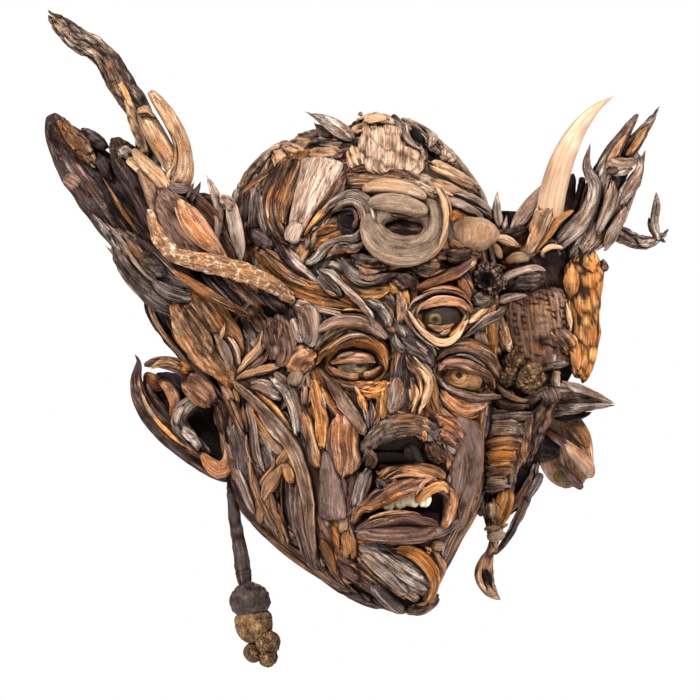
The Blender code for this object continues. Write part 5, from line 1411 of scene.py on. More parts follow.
def makeLeftCluster():
    root = [grow("root_a", "smooth_tan", freeRows(((151, 93, 178, 13, 12), (160, 104, 176, 15, 14),
          (171, 120, 175, 16, 15), (181, 140, 171, 17, 16), (184, 158, 167, 20, 17), (180, 178, 160, 28, 20),
          (166, 202, 152, 26, 20), (176, 236, 142, 20, 16))), ends=(4, 3), **polished, tint=0.6, cracks=2),
            grow("root_b", "smooth_tan", freeRows(((142, 108, 165, 17, 14), (150, 124, 166, 20, 16),
          (160, 142, 168, 21, 17), (170, 160, 164, 20, 16), (178, 178, 158, 18, 15))), ends=(4, 3), **polished,
                 tint=0.55, cracks=1), grow("root_c", "smooth_tan", freeRows(((134, 150, 158, 8, 7),
          (142, 160, 160, 12, 10), (156, 174, 161, 16, 12), (168, 188, 160, 18, 13), (166, 206, 156, 14, 12))),
          ends=(4, 3), **polished, tint=0.7), grow("root_d", "smooth_tan", freeRows(((128, 160, 152, 9, 8),
          (138, 166, 154, 12, 9), (150, 178, 156, 9, 8))), ends=(4, 3), **polished, tint=1.0), ]
    joined("pronged_root", root, ["pronged_root"])
    carve("tall_branch", "rough_bark", ((47, 12, 150, 18, 16), (75, 38, 150, 26, 20), (102, 55, 148, 25, 20),
          (121, 87, 145, 28, 22), (141, 118, 140, 31, 22), (148, 158, 132, 30, 20), (170, 214, 124, 28, 18),
          (238, 262, 114, 20, 16)), ends=(4, 3), swell=0.14, twist=2.6, groove=0.9, grooveSize=3,
          grooveRun=10, lump=0.8, lumpSize=5, bend=1.2, mesh=1.0, jag=(3, 0), cracks=4, tint=0.6, ply=5)
    carve("lichen_twig", "lichen_bark", ((150, 210, 172, 12, 12), (160, 238, 178, 17, 15),
          (177, 257, 182, 19, 16), (204, 262, 188, 19, 17), (236, 270, 196, 19, 17), (268, 283, 198, 18, 16),
          (305, 307, 180, 14, 13)), ends=(4, 4), swell=0.2, lump=0.7, lumpSize=5, groove=0.4, mesh=0.85,
          jag=(0, 3))
    carve("cupped_shard", "dark_weathered", ((158, 182, 162, 20, 9), (174, 198, 164, 44, 12),
          (198, 226, 162, 50, 13), (222, 252, 152, 36, 12), (244, 280, 138, 14, 10)), curl=0.22,
          twist=0.5, groove=0.5, jag=(3, 2), ragged=0.06, tint=0.5)
    carve("beak_wood", "dark_weathered", ((50, 114, 112, 22, 18), (60, 134, 112, 37, 26),
          (82, 162, 112, 55, 32), (106, 192, 112, 62, 36), (134, 226, 112, 62, 34), (176, 262, 108, 54, 30),
          (240, 300, 100, 40, 24)), ends=(4.5, 4), corner=2.6, groove=0.3, grooveSize=5, grooveRun=10, cracks=3,
          mesh=1.4, ragged=0.02, ply=0, jag=(0, 0), tint=0.3)
    carve("rear_shard", "dark_weathered", ((112, 137, 132, 18, 12), (126, 158, 134, 32, 18),
          (148, 194, 136, 38, 20), (172, 230, 134, 36, 20), (216, 268, 126, 26, 16)), ends=(4, 3), groove=0.7,
          tint=0.4)
    carve("layered_slab", "grey_driftwood", ((112, 226, 142, 20, 12), (130, 252, 144, 42, 18),
          (154, 280, 146, 50, 20), (184, 300, 146, 42, 18), (226, 310, 138, 26, 14)), corner=3,
          twist=0.3, groove=1.3, grooveSize=3.2, grooveRun=18, jag=(6, 2), ends=(4, 4), tint=0.3)
    carve("fan_slab", "brown_strip", ((178, 292, 150, 34, 12), (196, 316, 154, 56, 16), (214, 342, 154, 58, 16),
          (228, 366, 150, 44, 14), (238, 392, 142, 18, 10)), corner=3, curl=0.1, ends=(4, 3),
          groove=0.45, grooveSize=2.5, grooveRun=14, tint=0.8)
    carve("back_slab", "dark_weathered", ((154, 270, 94, 26, 16), (160, 300, 94, 38, 20),
          (180, 330, 94, 42, 22), (206, 358, 92, 40, 20), (240, 390, 88, 26, 14)), corner=3, ends=(4, 3),
          groove=0.8)
    glueLimbs("left_cluster", (
        ("brown", ((58, 115, 126, 10, 7), (68, 130, 131, 15, 8), (82, 148, 133, 20, 9), (98, 170, 132, 13, 8)),
         {"ply": 0, "check": 0.6, "checkSize": 6, "tint": 0.5, "ends": (3, 2)}),
        ("orange", ((62, 122, 132, 4, 4), (76, 142, 136, 9, 6), (92, 164, 136, 5, 5)),
         {"ply": 0, "check": 0.6, "checkSize": 5, "tint": 0.2}),
        ("bark", ((78, 128, 124, 8, 7), (94, 138, 130, 15, 10), (108, 150, 130, 13, 10)), barky, {"tint": 0.1}),
        ("bark", ((96, 152, 130, 8, 7), (104, 166, 134, 13, 9), (112, 182, 130, 7, 7)), barky, {"tint": 0.2}),
        ("dark", ((64, 178, 126, 12, 9), (73, 182, 130, 17, 12), (82, 190, 126, 12, 9)), polished,
         {"tint": 0.7}),
        ("dark", ((62, 150, 124, 10, 8), (78, 176, 128, 22, 11), (100, 206, 130, 22, 11),
                  (122, 238, 124, 10, 9)), polished, {"tint": 0.4}),
        ("dark", ((92, 172, 128, 5, 6), (112, 204, 132, 13, 9), (134, 238, 130, 8, 7)), ribbed),
        ("brown", ((100, 172, 128, 3, 5), (120, 206, 134, 7, 7), (142, 240, 134, 4, 5)), splinter),
        ("grey", ((118, 150, 146, 9, 7), (128, 154, 150, 14, 9), (138, 162, 150, 8, 7)), barky, {"tint": 0.9}),
        ("lip", ((138, 114, 170, 4, 5), (146, 112, 174, 7, 6), (156, 118, 174, 4, 5)), polished),
        ("brown", ((139, 120, 172, 3, 4), (147, 116, 176, 5, 5), (155, 122, 176, 3, 4)), splinter),
        ("tan", ((140, 168, 156, 10, 9), (150, 186, 160, 15, 11), (156, 206, 158, 14, 11),
                 (154, 222, 150, 8, 8)), smooth, {"tint": 0.3}),
        ("dark", ((116, 150, 138, 10, 9), (132, 178, 142, 16, 11), (150, 212, 142, 16, 11),
                  (164, 240, 138, 8, 8)), ribbed),
        ("brown", ((140, 172, 150, 8, 8), (152, 196, 150, 12, 10), (160, 218, 148, 8, 8)), splinter),
        ("orange", ((108, 62, 158, 3, 4), (120, 82, 158, 7, 6), (133, 108, 154, 7, 6), (142, 136, 150, 4, 4)),
         splinter, {"tint": 1.1}),
        ("tan", ((126, 96, 156, 6, 5), (134, 118, 156, 12, 8), (142, 140, 152, 12, 8), (148, 160, 146, 6, 6)),
         barky, {"tint": 1.0}),
        ("dark", ((160, 188, 166, 10, 5), (172, 208, 172, 34, 7), (190, 234, 174, 38, 8),
                  (214, 258, 166, 14, 6)), {"curl": 0.28, "groove": 0.4, "grooveSize": 3, "tint": 0.9}),
        ("lip", ((180, 200, 178, 8, 7), (191, 218, 184, 22, 10), (207, 239, 183, 20, 10),
                 (229, 260, 174, 4, 5)), polished, {"tint": 0.75, "curl": 0.1}),
        ("tan", ((176, 208, 178, 4, 5), (188, 230, 184, 7, 7), (206, 248, 182, 7, 7), (226, 260, 174, 3, 4)),
         polished, {"tint": 1.3}),
        ("dark", ((170, 186, 168, 8, 6), (180, 190, 172, 12, 8), (191, 188, 172, 10, 7)), smooth,
         {"tint": 0.8}),
        ("grey", ((218, 196, 170, 5, 6), (228, 204, 172, 14, 8), (236, 214, 172, 6, 6)), barky, {"tint": 0.7}),
        ("bark", ((204, 196, 158, 8, 8), (216, 206, 162, 18, 10), (226, 222, 164, 20, 10),
                  (232, 242, 160, 10, 8)), barky),
        ("dark", ((196, 180, 168, 2, 3), (192, 190, 170, 6, 6), (186, 202, 172, 10, 8)), splinter),
        ("dark", ((203, 180, 166, 2, 3), (198, 190, 170, 6, 6), (190, 206, 172, 9, 8)), splinter),
        ("grey", ((206, 174, 160, 2, 3), (214, 190, 166, 10, 8), (220, 214, 170, 13, 9), (219, 242, 168, 8, 7)),
         ribbed, {"tint": 1.1}),
        ("grey", ((228, 192, 168, 6, 6), (233, 214, 172, 15, 9), (238, 238, 172, 16, 9), (242, 264, 166, 8, 7)),
         ribbed, {"tint": 1.3}),
        ("brown", ((188, 196, 156, 8, 8), (206, 200, 160, 12, 9), (224, 212, 158, 10, 8)), barky),
        ("grey", ((92, 212, 134, 5, 6), (112, 238, 142, 12, 8), (134, 262, 148, 14, 9), (156, 284, 150, 8, 7)),
         ribbed),
        ("grey", ((106, 222, 146, 4, 5), (126, 246, 152, 11, 8), (146, 270, 156, 12, 8), (164, 290, 154, 6, 6)),
         ribbed),
        ("brown", ((118, 226, 150, 4, 5), (138, 250, 156, 10, 7), (158, 274, 158, 6, 6)), splinter),
        ("grey", ((152, 280, 154, 8, 7), (168, 292, 158, 15, 9), (186, 297, 156, 14, 8), (200, 298, 150, 6, 6)),
         smooth),
        ("bark", ((140, 252, 156, 10, 9), (154, 266, 160, 17, 11), (166, 280, 158, 10, 9)), barky),
        ("grey", ((104, 244, 142, 2, 3), (116, 255, 146, 6, 5), (130, 264, 150, 4, 4)), splinter),
        ("dark", ((116, 262, 142, 2, 3), (128, 270, 146, 6, 5), (142, 280, 150, 5, 5)), splinter),
        ("brown", ((172, 270, 172, 6, 7), (192, 283, 178, 10, 9), (214, 296, 180, 11, 9),
                   (234, 307, 178, 10, 8), (252, 318, 172, 5, 6)), smooth, {"cracks": 2}),
        ("dark", ((200, 272, 174, 4, 5), (216, 290, 178, 8, 7), (232, 306, 176, 6, 6)), ribbed),
        ("dark", ((210, 272, 176, 4, 5), (228, 290, 180, 8, 7), (246, 308, 178, 6, 6)), ribbed),
        ("dark", ((222, 276, 178, 4, 5), (240, 292, 182, 9, 8), (258, 308, 182, 6, 6)), ribbed),
        ("dark", ((236, 280, 180, 4, 5), (252, 294, 184, 9, 8), (270, 308, 184, 6, 6)), ribbed),
        ("grey", ((206, 276, 180, 2, 4), (222, 292, 183, 4, 5), (238, 308, 181, 3, 4)), splinter),
        ("dark", ((262, 288, 184, 8, 8), (276, 300, 188, 14, 10), (290, 310, 188, 8, 7)), ribbed),
        ("tan", ((227, 320, 164, 2, 3), (223, 332, 164, 6, 6), (219, 346, 162, 4, 5)), splinter),
        ("tan", ((214, 332, 162, 6, 5), (226, 352, 164, 12, 6), (232, 372, 160, 6, 5)), ribbed),
        ("tan", ((226, 334, 160, 5, 5), (237, 350, 162, 9, 6), (240, 368, 158, 5, 5)), ribbed),
        ("brown", ((184, 306, 158, 12, 7), (200, 330, 163, 18, 8), (214, 356, 161, 13, 7)), ribbed,
         {"tint": 0.6}),
        ("tan", ((146, 286, 102, 4, 6), (152, 314, 104, 6, 7), (168, 340, 104, 6, 7), (190, 366, 102, 4, 6)),
         smooth),
        ("orange", ((164, 316, 106, 3, 4), (176, 336, 108, 7, 6), (190, 358, 106, 4, 5)), splinter),
        ("dark", ((186, 350, 106, 8, 8), (200, 366, 110, 13, 10), (216, 384, 110, 8, 8)), ribbed),
        ("dark", ((168, 300, 112, 10, 9), (180, 326, 116, 16, 12), (196, 350, 116, 10, 9)), ribbed),
    ))


def makeLeftEar():
    carve("ear_rim_left", "brown_strip", ((133, 352, 108, 4, 5), (138, 363, 108, 12, 12),
          (136, 382, 108, 17, 18), (143, 405, 108, 19, 19), (160, 428, 108, 20, 19), (182, 448, 110, 20, 18),
          (204, 464, 112, 19, 16), (222, 476, 112, 15, 14), (236, 478, 108, 12, 12)), ends=(2, 4), groove=0.5,
          cracks=3, tint=0.35, ragged=0.04, ply=4)
    carve("ear_top_left", "dark_weathered", ((141, 366, 124, 10, 10), (160, 362, 126, 15, 14),
          (182, 368, 128, 17, 15), (204, 384, 130, 17, 16), (222, 404, 130, 16, 14), (240, 424, 128, 10, 10)),
          groove=0.4, tint=0.9, ragged=0.04, ply=4)
    # the ear's bowl is painted half in shade
    carve("ear_bowl_left", "dark_weathered", ((152, 374, 94, 26, 8), (172, 396, 90, 58, 10),
          (198, 424, 88, 66, 10), (228, 456, 90, 48, 10)), curl=0.12, corner=3, groove=0.5, tint=0.2, dusk=0.5)
    carve("ear_curl_left", "grey_driftwood", ((216, 396, 122, 10, 10), (192, 402, 122, 16, 12),
          (179, 420, 118, 17, 12), (190, 440, 114, 16, 12), (212, 456, 114, 12, 10)), groove=0.8,
          grooveSize=2.2)
    drop = 71 * mm / unit
    top, halfNut, halfCap = 476, 13 * mm / unit, 12 * mm / unit
    carve("pendant_stick", "rough_bark", ((231, top, 108, 12, 12), (234, top + drop * 0.35, 110, 13, 13),
          (240, top + drop * 0.7, 112, 15, 15), (245, top + drop, 114, 18, 18)), ends=(5, 6),
          rings=0.5, ringGap=1.6, groove=0.3, mesh=0.7, ragged=0, tint=0.05, ply=0, jag=(0, 0), swell=0.05)
    nutDown = top + drop + halfNut * 0.8
    keep(lump("nut_ball", "nut_brown", place(250, nutDown, 115), (13 * mm,) * 3, mesh=0.85, bumps=0.07,
              bumpSize=5, pits=0.5, pitSize=4), ["nut_ball"])
    capDown = nutDown + halfNut * 0.75
    cap = grow("acorn_cap", "seed_cap", freeRows(((252, capDown - 4, 115, 2 * halfCap, 2 * halfCap),
               (254, capDown + 10, 115, 2.05 * halfCap, 2.05 * halfCap),
               (257, capDown + 27, 115, 1.5 * halfCap, 1.5 * halfCap))), ends=(7, 3), corner=2, groove=0.05,
               lump=0.5, lumpSize=2.1, mesh=0.55, swell=0.02, ragged=0.01, ply=0, jag=(0, 0), lean=0)
    keep(cap, ["acorn_cap"])
    galls = ((268, 27, 120, 13), (254, 36, 114, 11), (268, 41, 121, 10))  # across, below the cap, out, radius
    balls = [lump(f"gall_{number}", "seed_cap", place(across, capDown + down, out), (size * unit,) * 3,
                  mesh=0.75, bumps=0.08, bumpSize=4, pits=0.3, pitSize=1.6)
             for number, (across, down, out, size) in enumerate(galls)]
    joined("gall_cluster", balls, ["gall_cluster"])
    glueLimbs("left_ear", (
        # a dark piece deep in the ear, painted in shade
        ("dark", ((186, 396, 96, 20, 8), (206, 424, 98, 44, 10), (226, 456, 98, 36, 10), (236, 474, 96, 14, 8)),
         smooth, {"dusk": 0.85}),
        ("brown", ((150, 368, 134, 5, 6), (166, 362, 138, 9, 8), (186, 369, 138, 7, 7)), smooth, {"tint": 0.7}),
        ("orange", ((176, 364, 136, 7, 6), (185, 367, 141, 12, 8), (194, 373, 138, 8, 7)), barky),
        ("lip", ((184, 378, 134, 16, 13), (194, 386, 140, 26, 17), (205, 396, 140, 27, 17),
                 (214, 406, 134, 16, 13)), {"ends": (7, 6), "corner": 3.4, "groove": 0.8, "grooveSize": 1.5,
              "ply": 4, "tint": 0.45, "curl": 0.15, "jag": (2, 3)}),
        ("lip", ((158, 380, 106, 7, 7), (170, 390, 109, 13, 10), (175, 404, 108, 12, 9), (170, 418, 104, 7, 6)),
         polished, {"tint": 0.8}),
        ("brown", ((142, 380, 102, 8, 6), (148, 396, 102, 16, 8), (162, 416, 102, 16, 8),
                   (180, 436, 102, 8, 7)), smooth, {"tint": 0.3}),
        ("orange", ((144, 372, 100, 8, 6), (152, 382, 100, 18, 7), (164, 388, 98, 12, 6)), smooth,
         {"tint": 0.2}),
        ("orange", ((146, 404, 120, 3, 4), (158, 422, 122, 6, 5), (174, 438, 122, 5, 5), (190, 450, 118, 3, 4)),
         splinter),
        ("tan", ((140, 388, 120, 3, 4), (148, 408, 122, 5, 5), (164, 428, 122, 4, 5)), splinter),
        ("grey", ((178, 426, 120, 6, 6), (186, 432, 125, 12, 9), (196, 442, 124, 10, 8), (200, 452, 118, 6, 6)),
         barky, {"tint": 0.8}),
        ("grey", ((186, 404, 124, 6, 6), (178, 414, 126, 8, 8), (176, 428, 124, 6, 6)), ribbed, {"tint": 0.8}),
        ("lip", ((200, 452, 116, 8, 7), (210, 464, 120, 15, 11), (221, 470, 121, 18, 13),
                 (230, 460, 120, 16, 12), (229, 438, 118, 10, 9)), polished, {"tint": 0.8}),
        ("brown", ((218, 398, 132, 6, 6), (224, 416, 138, 22, 10), (230, 446, 132, 8, 7)), ribbed,
         {"tint": 0.4}),
        ("tan", ((214, 376, 138, 4, 5), (228, 392, 144, 9, 8), (240, 416, 144, 6, 6)), splinter),
        ("dark", ((232, 440, 116, 10, 8), (236, 462, 118, 17, 11), (234, 484, 112, 12, 9)), ribbed),
    ))


def makeRightCluster():
    carve("antler_tine", "antler_ivory", ((613, 97, 150, 5, 5), (594, 110, 151, 13, 12),
          (576, 132, 151, 19, 17), (562, 160, 148, 24, 21), (553, 190, 142, 27, 22), (547, 220, 134, 28, 22),
          (532, 250, 124, 22, 20)), ends=(2.2, 3), swell=0.01, groove=0.04, grooveSize=3, grooveRun=20,
          ragged=0, ply=0, lean=0, jag=(0, 0), mesh=1.1, tint=0.4)
    carve("tine_bark", "checkered_bark", ((552, 192, 122, 26, 14), (542, 218, 118, 38, 16),
          (526, 242, 112, 38, 16), (498, 262, 104, 28, 14)), corner=3, ends=(4, 4), groove=0.9, jag=(5, 2))
    prongs = [
        ((639, 112, 122, 12, 10), (630, 126, 122, 14, 12), (618, 146, 122, 18, 14), (606, 170, 122, 24, 18),
         (598, 196, 122, 32, 22), (590, 230, 120, 34, 24), (572, 262, 112, 26, 20)),
        ((662, 104, 112, 5, 4), (654, 116, 114, 9, 8), (642, 134, 116, 15, 12), (626, 156, 118, 20, 14),
         (610, 190, 120, 24, 18), (596, 228, 120, 20, 16)),
        ((646, 148, 126, 5, 5), (640, 166, 128, 10, 9), (630, 186, 128, 16, 12), (618, 210, 126, 20, 14),
         (602, 236, 122, 22, 16), (586, 252, 118, 16, 14)),
    ]
    limbs = [grow("prong", "grey_driftwood", freeRows(prong), ends=(3, 3), groove=0.8, grooveSize=2.4,
                  grooveRun=14, cracks=2, jag=(3, 0), ragged=0.08, tint=light)
             for prong, light in zip(prongs, (0.6, 0.45, 0.8))]
    joined("driftwood_prongs", limbs, ["driftwood_prongs"])
    carve("grey_root", "grey_driftwood", ((590, 142, 132, 6, 6), (586, 166, 133, 13, 11),
          (594, 188, 134, 15, 13), (586, 214, 132, 18, 15), (566, 236, 128, 19, 16), (544, 254, 122, 16, 14)),
          ends=(2, 3), groove=0.7, grooveSize=2.6, grooveRun=12, cracks=2, tint=0.85, ragged=0.05)
    carve("side_twig", "grey_driftwood", ((600, 226, 112, 15, 13), (620, 234, 110, 16, 13),
          (642, 243, 106, 14, 11), (660, 238, 102, 10, 9), (671, 227, 100, 4, 4)), ends=(3, 2), groove=0.6,
          lump=1.1, lumpSize=4, tint=0.35, swell=0.2)
    carve("checkered_plate", "checkered_bark", ((533, 288, 122, 62, 15), (536, 314, 123, 68, 16),
          (541, 342, 123, 66, 16), (546, 372, 120, 54, 14)), ends=(7, 7), corner=4, check=0.7,
          checkSize=3.1, groove=0.05, mesh=0.8, jag=(1, 1), tint=0.3, ply=0, ragged=0.03)
    carve("orange_slab", "orange_heartwood", ((588, 240, 120, 24, 12), (585, 262, 120, 40, 15),
          (584, 300, 120, 34, 15), (585, 340, 118, 29, 13), (581, 368, 117, 25, 11), (579, 385, 116, 18, 9)),
          ends=(5, 5), corner=3.4, groove=1.0, grooveSize=3.4, grooveRun=7, jag=(7, 3), cracks=5, tint=0.85,
          ragged=0.09, ply=6, lump=0.5, lumpSize=7)
    # the backing behind the cluster is painted half in shade
    carve("side_backing", "dark_weathered", ((466, 226, 98, 44, 22), (520, 242, 102, 62, 26),
          (550, 276, 104, 84, 26), (548, 330, 104, 84, 26), (520, 384, 100, 66, 26), (470, 430, 92, 34, 20)),
          corner=3, ends=(4, 4), groove=0.8, lump=0.7, lumpSize=9, mesh=1.7, dusk=0.55)
    seeds = ((511, 360, 138, 13), (506, 375, 139, 13), (530, 378, 136, 17))  # across, down, out, radius
    lumps = [lump(f"seed_{number}", "seed_cap", place(across, down, out),
                  (size * unit, size * unit, size * unit * 0.9), mesh=0.8, bumps=0.16, bumpSize=4,
                  pits=0.8, pitSize=2.4)
             for number, (across, down, out, size) in enumerate(seeds)]
    joined("seed_lumps", lumps, ["seed_lumps"])
    carve("pointed_shard", "grey_driftwood", ((618, 404, 118, 2, 2), (596, 402, 118, 20, 12),
          (572, 400, 117, 34, 16), (548, 402, 114, 36, 16), (518, 408, 108, 22, 14)), ends=(2, 3), corner=3,
          groove=1.1, grooveSize=3, grooveRun=16, tint=1.15, ply=2.2)
    carve("bark_column", "rough_bark", ((504, 386, 134, 26, 20), (503, 412, 136, 36, 28),
          (501, 446, 134, 40, 30), (498, 480, 128, 38, 28), (495, 512, 118, 30, 20), (491, 544, 110, 12, 10)),
          ends=(4, 3), corner=3, swell=0.16, lump=1.0, lumpSize=6, groove=0.6, dusk=0.35, tint=0.4)
    carve("column_knot", "rough_bark", ((556, 388, 122, 14, 12), (543, 412, 124, 22, 20),
          (531, 438, 122, 20, 18), (526, 468, 114, 12, 12)), swell=0.18, lump=1.1, lumpSize=4, groove=0.5,
          tint=0.2)
    carve("ear_slab_right", "smooth_tan", ((558, 414, 92, 44, 10), (564, 442, 92, 58, 12),
          (570, 468, 90, 50, 11), (576, 490, 88, 26, 9)), curl=0.12, corner=3.4, ends=(5, 5), groove=0.2,
          grooveSize=2, grooveRun=20, tint=0.35, ply=0, ragged=0.04, jag=(0, 2))
    carve("ear_root_right", "dark_weathered", ((468, 440, 104, 26, 18), (502, 444, 100, 34, 18),
          (530, 448, 96, 32, 16), (562, 452, 94, 26, 12)), corner=3, groove=0.7)
    carve("hanging_stick", "grey_driftwood", ((537, 460, 114, 12, 10), (523, 508, 111, 10, 9),
          (506, 540, 109, 9, 8), (494, 556, 108, 8, 8)), groove=0.5, cracks=1, tint=0.25)
    carve("right_pendant", "smooth_tan", ((493, 538, 109, 9, 8), (491, 552, 109, 10, 9),
          (486, 564, 110, 18, 12), (485, 578, 110, 20, 13), (491, 592, 110, 16, 11), (503, 602, 109, 5, 5)),
          ends=(4, 2), groove=0.4, cracks=3, tint=0.45, ply=0)
    glueLimbs("right_cluster", (
        ("grey", ((541, 186, 126, 5, 6), (533, 202, 124, 15, 9), (523, 216, 122, 17, 10),
                  (510, 232, 118, 8, 8)), polished, {"tint": 1.1, "groove": 0.3}),
        ("grey", ((498, 187, 120, 2, 3), (497, 206, 120, 9, 8), (500, 232, 118, 12, 9)), splinter,
         {"tint": 1.4}),
        ("grey", ((507, 212, 120, 2, 3), (505, 226, 120, 8, 7), (503, 240, 118, 8, 7)), splinter,
         {"tint": 1.3}),
        # dark pieces behind the others, painted in shade
        ("dark", ((486, 250, 104, 24, 10), (500, 272, 108, 34, 12), (502, 300, 108, 30, 12),
                  (500, 326, 104, 18, 10)), barky, {"dusk": 0.75}),
        ("dark", ((510, 404, 112, 24, 10), (528, 424, 112, 30, 12), (530, 452, 110, 28, 12),
                  (520, 486, 108, 26, 10), (504, 520, 104, 12, 8)), barky, {"dusk": 0.6}),
        ("bark", ((488, 228, 122, 6, 6), (504, 234, 126, 10, 8), (520, 230, 124, 10, 8), (532, 226, 120, 6, 6)),
         barky),
        ("tan", ((492, 238, 128, 5, 5), (506, 240, 132, 10, 6), (522, 248, 130, 4, 4)), smooth),
        ("tan", ((492, 240, 126, 4, 5), (496, 250, 130, 10, 7), (502, 260, 128, 5, 5)), smooth),
        ("stone", ((504, 262, 132, 6, 5), (518, 258, 136, 12, 7), (530, 259, 134, 8, 6)), smooth),
        ("orange", ((498, 262, 128, 8, 7), (510, 268, 130, 12, 8), (524, 270, 130, 8, 7)), barky),
        ("tan", ((552, 198, 142, 10, 7), (544, 216, 146, 22, 9), (536, 236, 143, 18, 9),
                 (527, 254, 136, 10, 7)), {"ply": 2.4, "plyStep": 1.0, "plyCut": 1.2, "jag": (4, 1),
              "ends": (5, 3), "tint": 0.7}),
        ("orange", ((574, 210, 138, 5, 5), (558, 220, 143, 9, 7), (546, 236, 143, 9, 7), (534, 252, 138, 6, 6)),
         smooth, {"tint": 0.6}),
        ("dark", ((571, 172, 116, 10, 8), (571, 194, 118, 13, 9), (566, 216, 118, 18, 9),
                  (560, 238, 116, 18, 9)), sawn, {"tint": 0.6}),
        ("dark", ((583, 174, 118, 7, 6), (581, 192, 120, 10, 8), (574, 216, 120, 12, 8)), sawn),
        ("grey", ((604, 162, 130, 7, 7), (619, 165, 136, 14, 9), (634, 162, 134, 11, 7), (645, 158, 128, 4, 4)),
         ribbed, {"tint": 0.9}),
        ("grey", ((610, 176, 130, 6, 6), (622, 172, 136, 11, 8), (636, 168, 132, 5, 5)), splinter,
         {"tint": 0.7}),
        # a dark piece between the others, painted in shade
        ("dark", ((606, 172, 132, 5, 5), (614, 171, 136, 8, 6), (622, 168, 134, 4, 5)), smooth, {"dusk": 0.6}),
        ("grey", ((636, 150, 128, 6, 6), (640, 166, 132, 10, 8), (630, 188, 134, 15, 10),
                  (618, 206, 132, 10, 8)), ribbed, {"tint": 0.75}),
        ("grey", ((612, 178, 130, 7, 7), (611, 196, 136, 13, 9), (603, 218, 136, 13, 9), (594, 240, 130, 8, 7)),
         torn, {"tint": 0.85}),
        ("grey", ((629, 202, 132, 5, 5), (622, 216, 136, 13, 10), (612, 234, 134, 14, 10),
                  (602, 252, 126, 9, 8)), torn, {"tint": 0.65}),
        ("brown", ((650, 122, 120, 5, 5), (638, 140, 126, 10, 8), (624, 158, 128, 9, 8)), ribbed,
         {"tint": 0.6}),
        ("tan", ((628, 132, 130, 5, 5), (616, 150, 132, 9, 8), (604, 172, 130, 8, 7)), splinter, {"tint": 0.6}),
        ("grey", ((657, 192, 106, 4, 4), (657, 206, 107, 9, 8), (655, 222, 107, 9, 8), (660, 240, 104, 8, 8)),
         polished, {"tint": 0.7, "groove": 0.3, "ends": (3, 3)}),
        ("dark", ((649, 214, 106, 3, 4), (651, 226, 107, 7, 7), (657, 240, 105, 8, 8)), splinter),
        ("dark", ((658, 238, 103, 5, 5), (664, 240, 103, 5, 5), (669, 244, 102, 2, 3)), splinter),
        ("grey", ((632, 236, 112, 4, 5), (645, 243, 113, 8, 7), (659, 240, 109, 5, 5)), barky, {"tint": 0.9}),
        ("bark", ((608, 228, 117, 6, 6), (624, 238, 117, 11, 8), (641, 247, 113, 8, 7)), barky, {"tint": 0.5}),
        ("dark", ((600, 260, 118, 7, 7), (605, 266, 120, 10, 9), (606, 274, 118, 7, 7)), barky),
        ("dark", ((596, 282, 116, 5, 5), (598, 292, 118, 7, 7), (597, 302, 116, 5, 5)), barky),
        ("bark", ((540, 256, 128, 12, 10), (549, 250, 134, 22, 14), (560, 246, 132, 20, 12)), barky,
         {"tint": 0.8}),
        # painted shade: a dark slip in a gap
        ("dark", ((544, 260, 140, 9, 6), (552, 258, 142, 14, 6), (560, 255, 139, 9, 6)), smooth, {"dusk": 0.9}),
        ("tan", ((540, 254, 142, 4, 4), (550, 247, 145, 6, 5), (563, 248, 142, 4, 4)), smooth, {"tint": 1.0}),
        ("orange", ((570, 262, 126, 9, 8), (572, 280, 130, 17, 9), (570, 300, 128, 9, 8)), ribbed,
         {"tint": 0.8}),
        # painted shade: a dark slip in a gap
        ("dark", ((578, 246, 129, 3, 4), (581, 256, 130, 5, 4), (580, 268, 129, 3, 4)), smooth, {"dusk": 0.9}),
        ("orange", ((571, 330, 126, 8, 7), (574, 350, 129, 14, 9), (578, 372, 126, 9, 7)), ribbed,
         {"tint": 0.9}),
        ("tan", ((566, 300, 130, 3, 4), (569, 316, 134, 7, 6), (571, 334, 132, 3, 4)), splinter, {"tint": 1.4}),
        ("grey", ((496, 288, 138, 4, 5), (506, 277, 142, 8, 6), (520, 271, 143, 8, 6), (536, 268, 142, 7, 5),
                 (546, 271, 138, 3, 4)), smooth, {"tint": 0.85}),
        ("dark", ((500, 288, 134, 8, 6), (514, 282, 139, 18, 8), (532, 280, 140, 20, 8), (547, 280, 136, 6, 5)),
         barky),
        ("grey", ((494, 306, 144, 7, 6), (506, 299, 147, 10, 7), (518, 296, 148, 8, 6), (530, 295, 144, 4, 4)),
         ribbed),
        ("lichen", ((498, 314, 144, 9, 9), (504, 332, 148, 10, 10), (511, 352, 146, 9, 9)), sawn,
         {"mesh": 0.7}),
        ("brown", ((552, 328, 134, 16, 6), (566, 342, 134, 20, 7), (574, 358, 130, 12, 6)), torn,
         {"tint": 0.3}),
        ("grey", ((555, 349, 146, 3, 3), (555, 357, 148, 7, 6), (553, 366, 146, 8, 7)), splinter),
        ("grey", ((572, 365, 142, 3, 3), (562, 364, 146, 8, 7), (548, 366, 146, 9, 7)), splinter),
        ("bark", ((556, 368, 142, 9, 8), (555, 378, 144, 9, 8), (556, 390, 140, 10, 9)),
         {"rings": 0.5, "ringGap": 2.5}),
        ("dark", ((546, 386, 136, 12, 10), (550, 394, 141, 20, 13), (555, 404, 136, 14, 10)), barky),
        ("grey", ((560, 381, 128, 6, 6), (578, 388, 130, 11, 7), (598, 396, 128, 8, 6), (617, 404, 122, 3, 3)),
         ribbed),
        ("grey", ((552, 406, 126, 6, 6), (572, 408, 129, 12, 7), (594, 406, 127, 9, 6), (616, 405, 122, 3, 3)),
         ribbed),
        ("dark", ((552, 418, 118, 6, 6), (572, 418, 120, 10, 7), (594, 412, 118, 6, 5)), ribbed),
        ("brown", ((488, 384, 144, 5, 6), (496, 398, 148, 10, 8), (512, 407, 148, 12, 8),
                   (530, 405, 144, 8, 7)), ribbed),
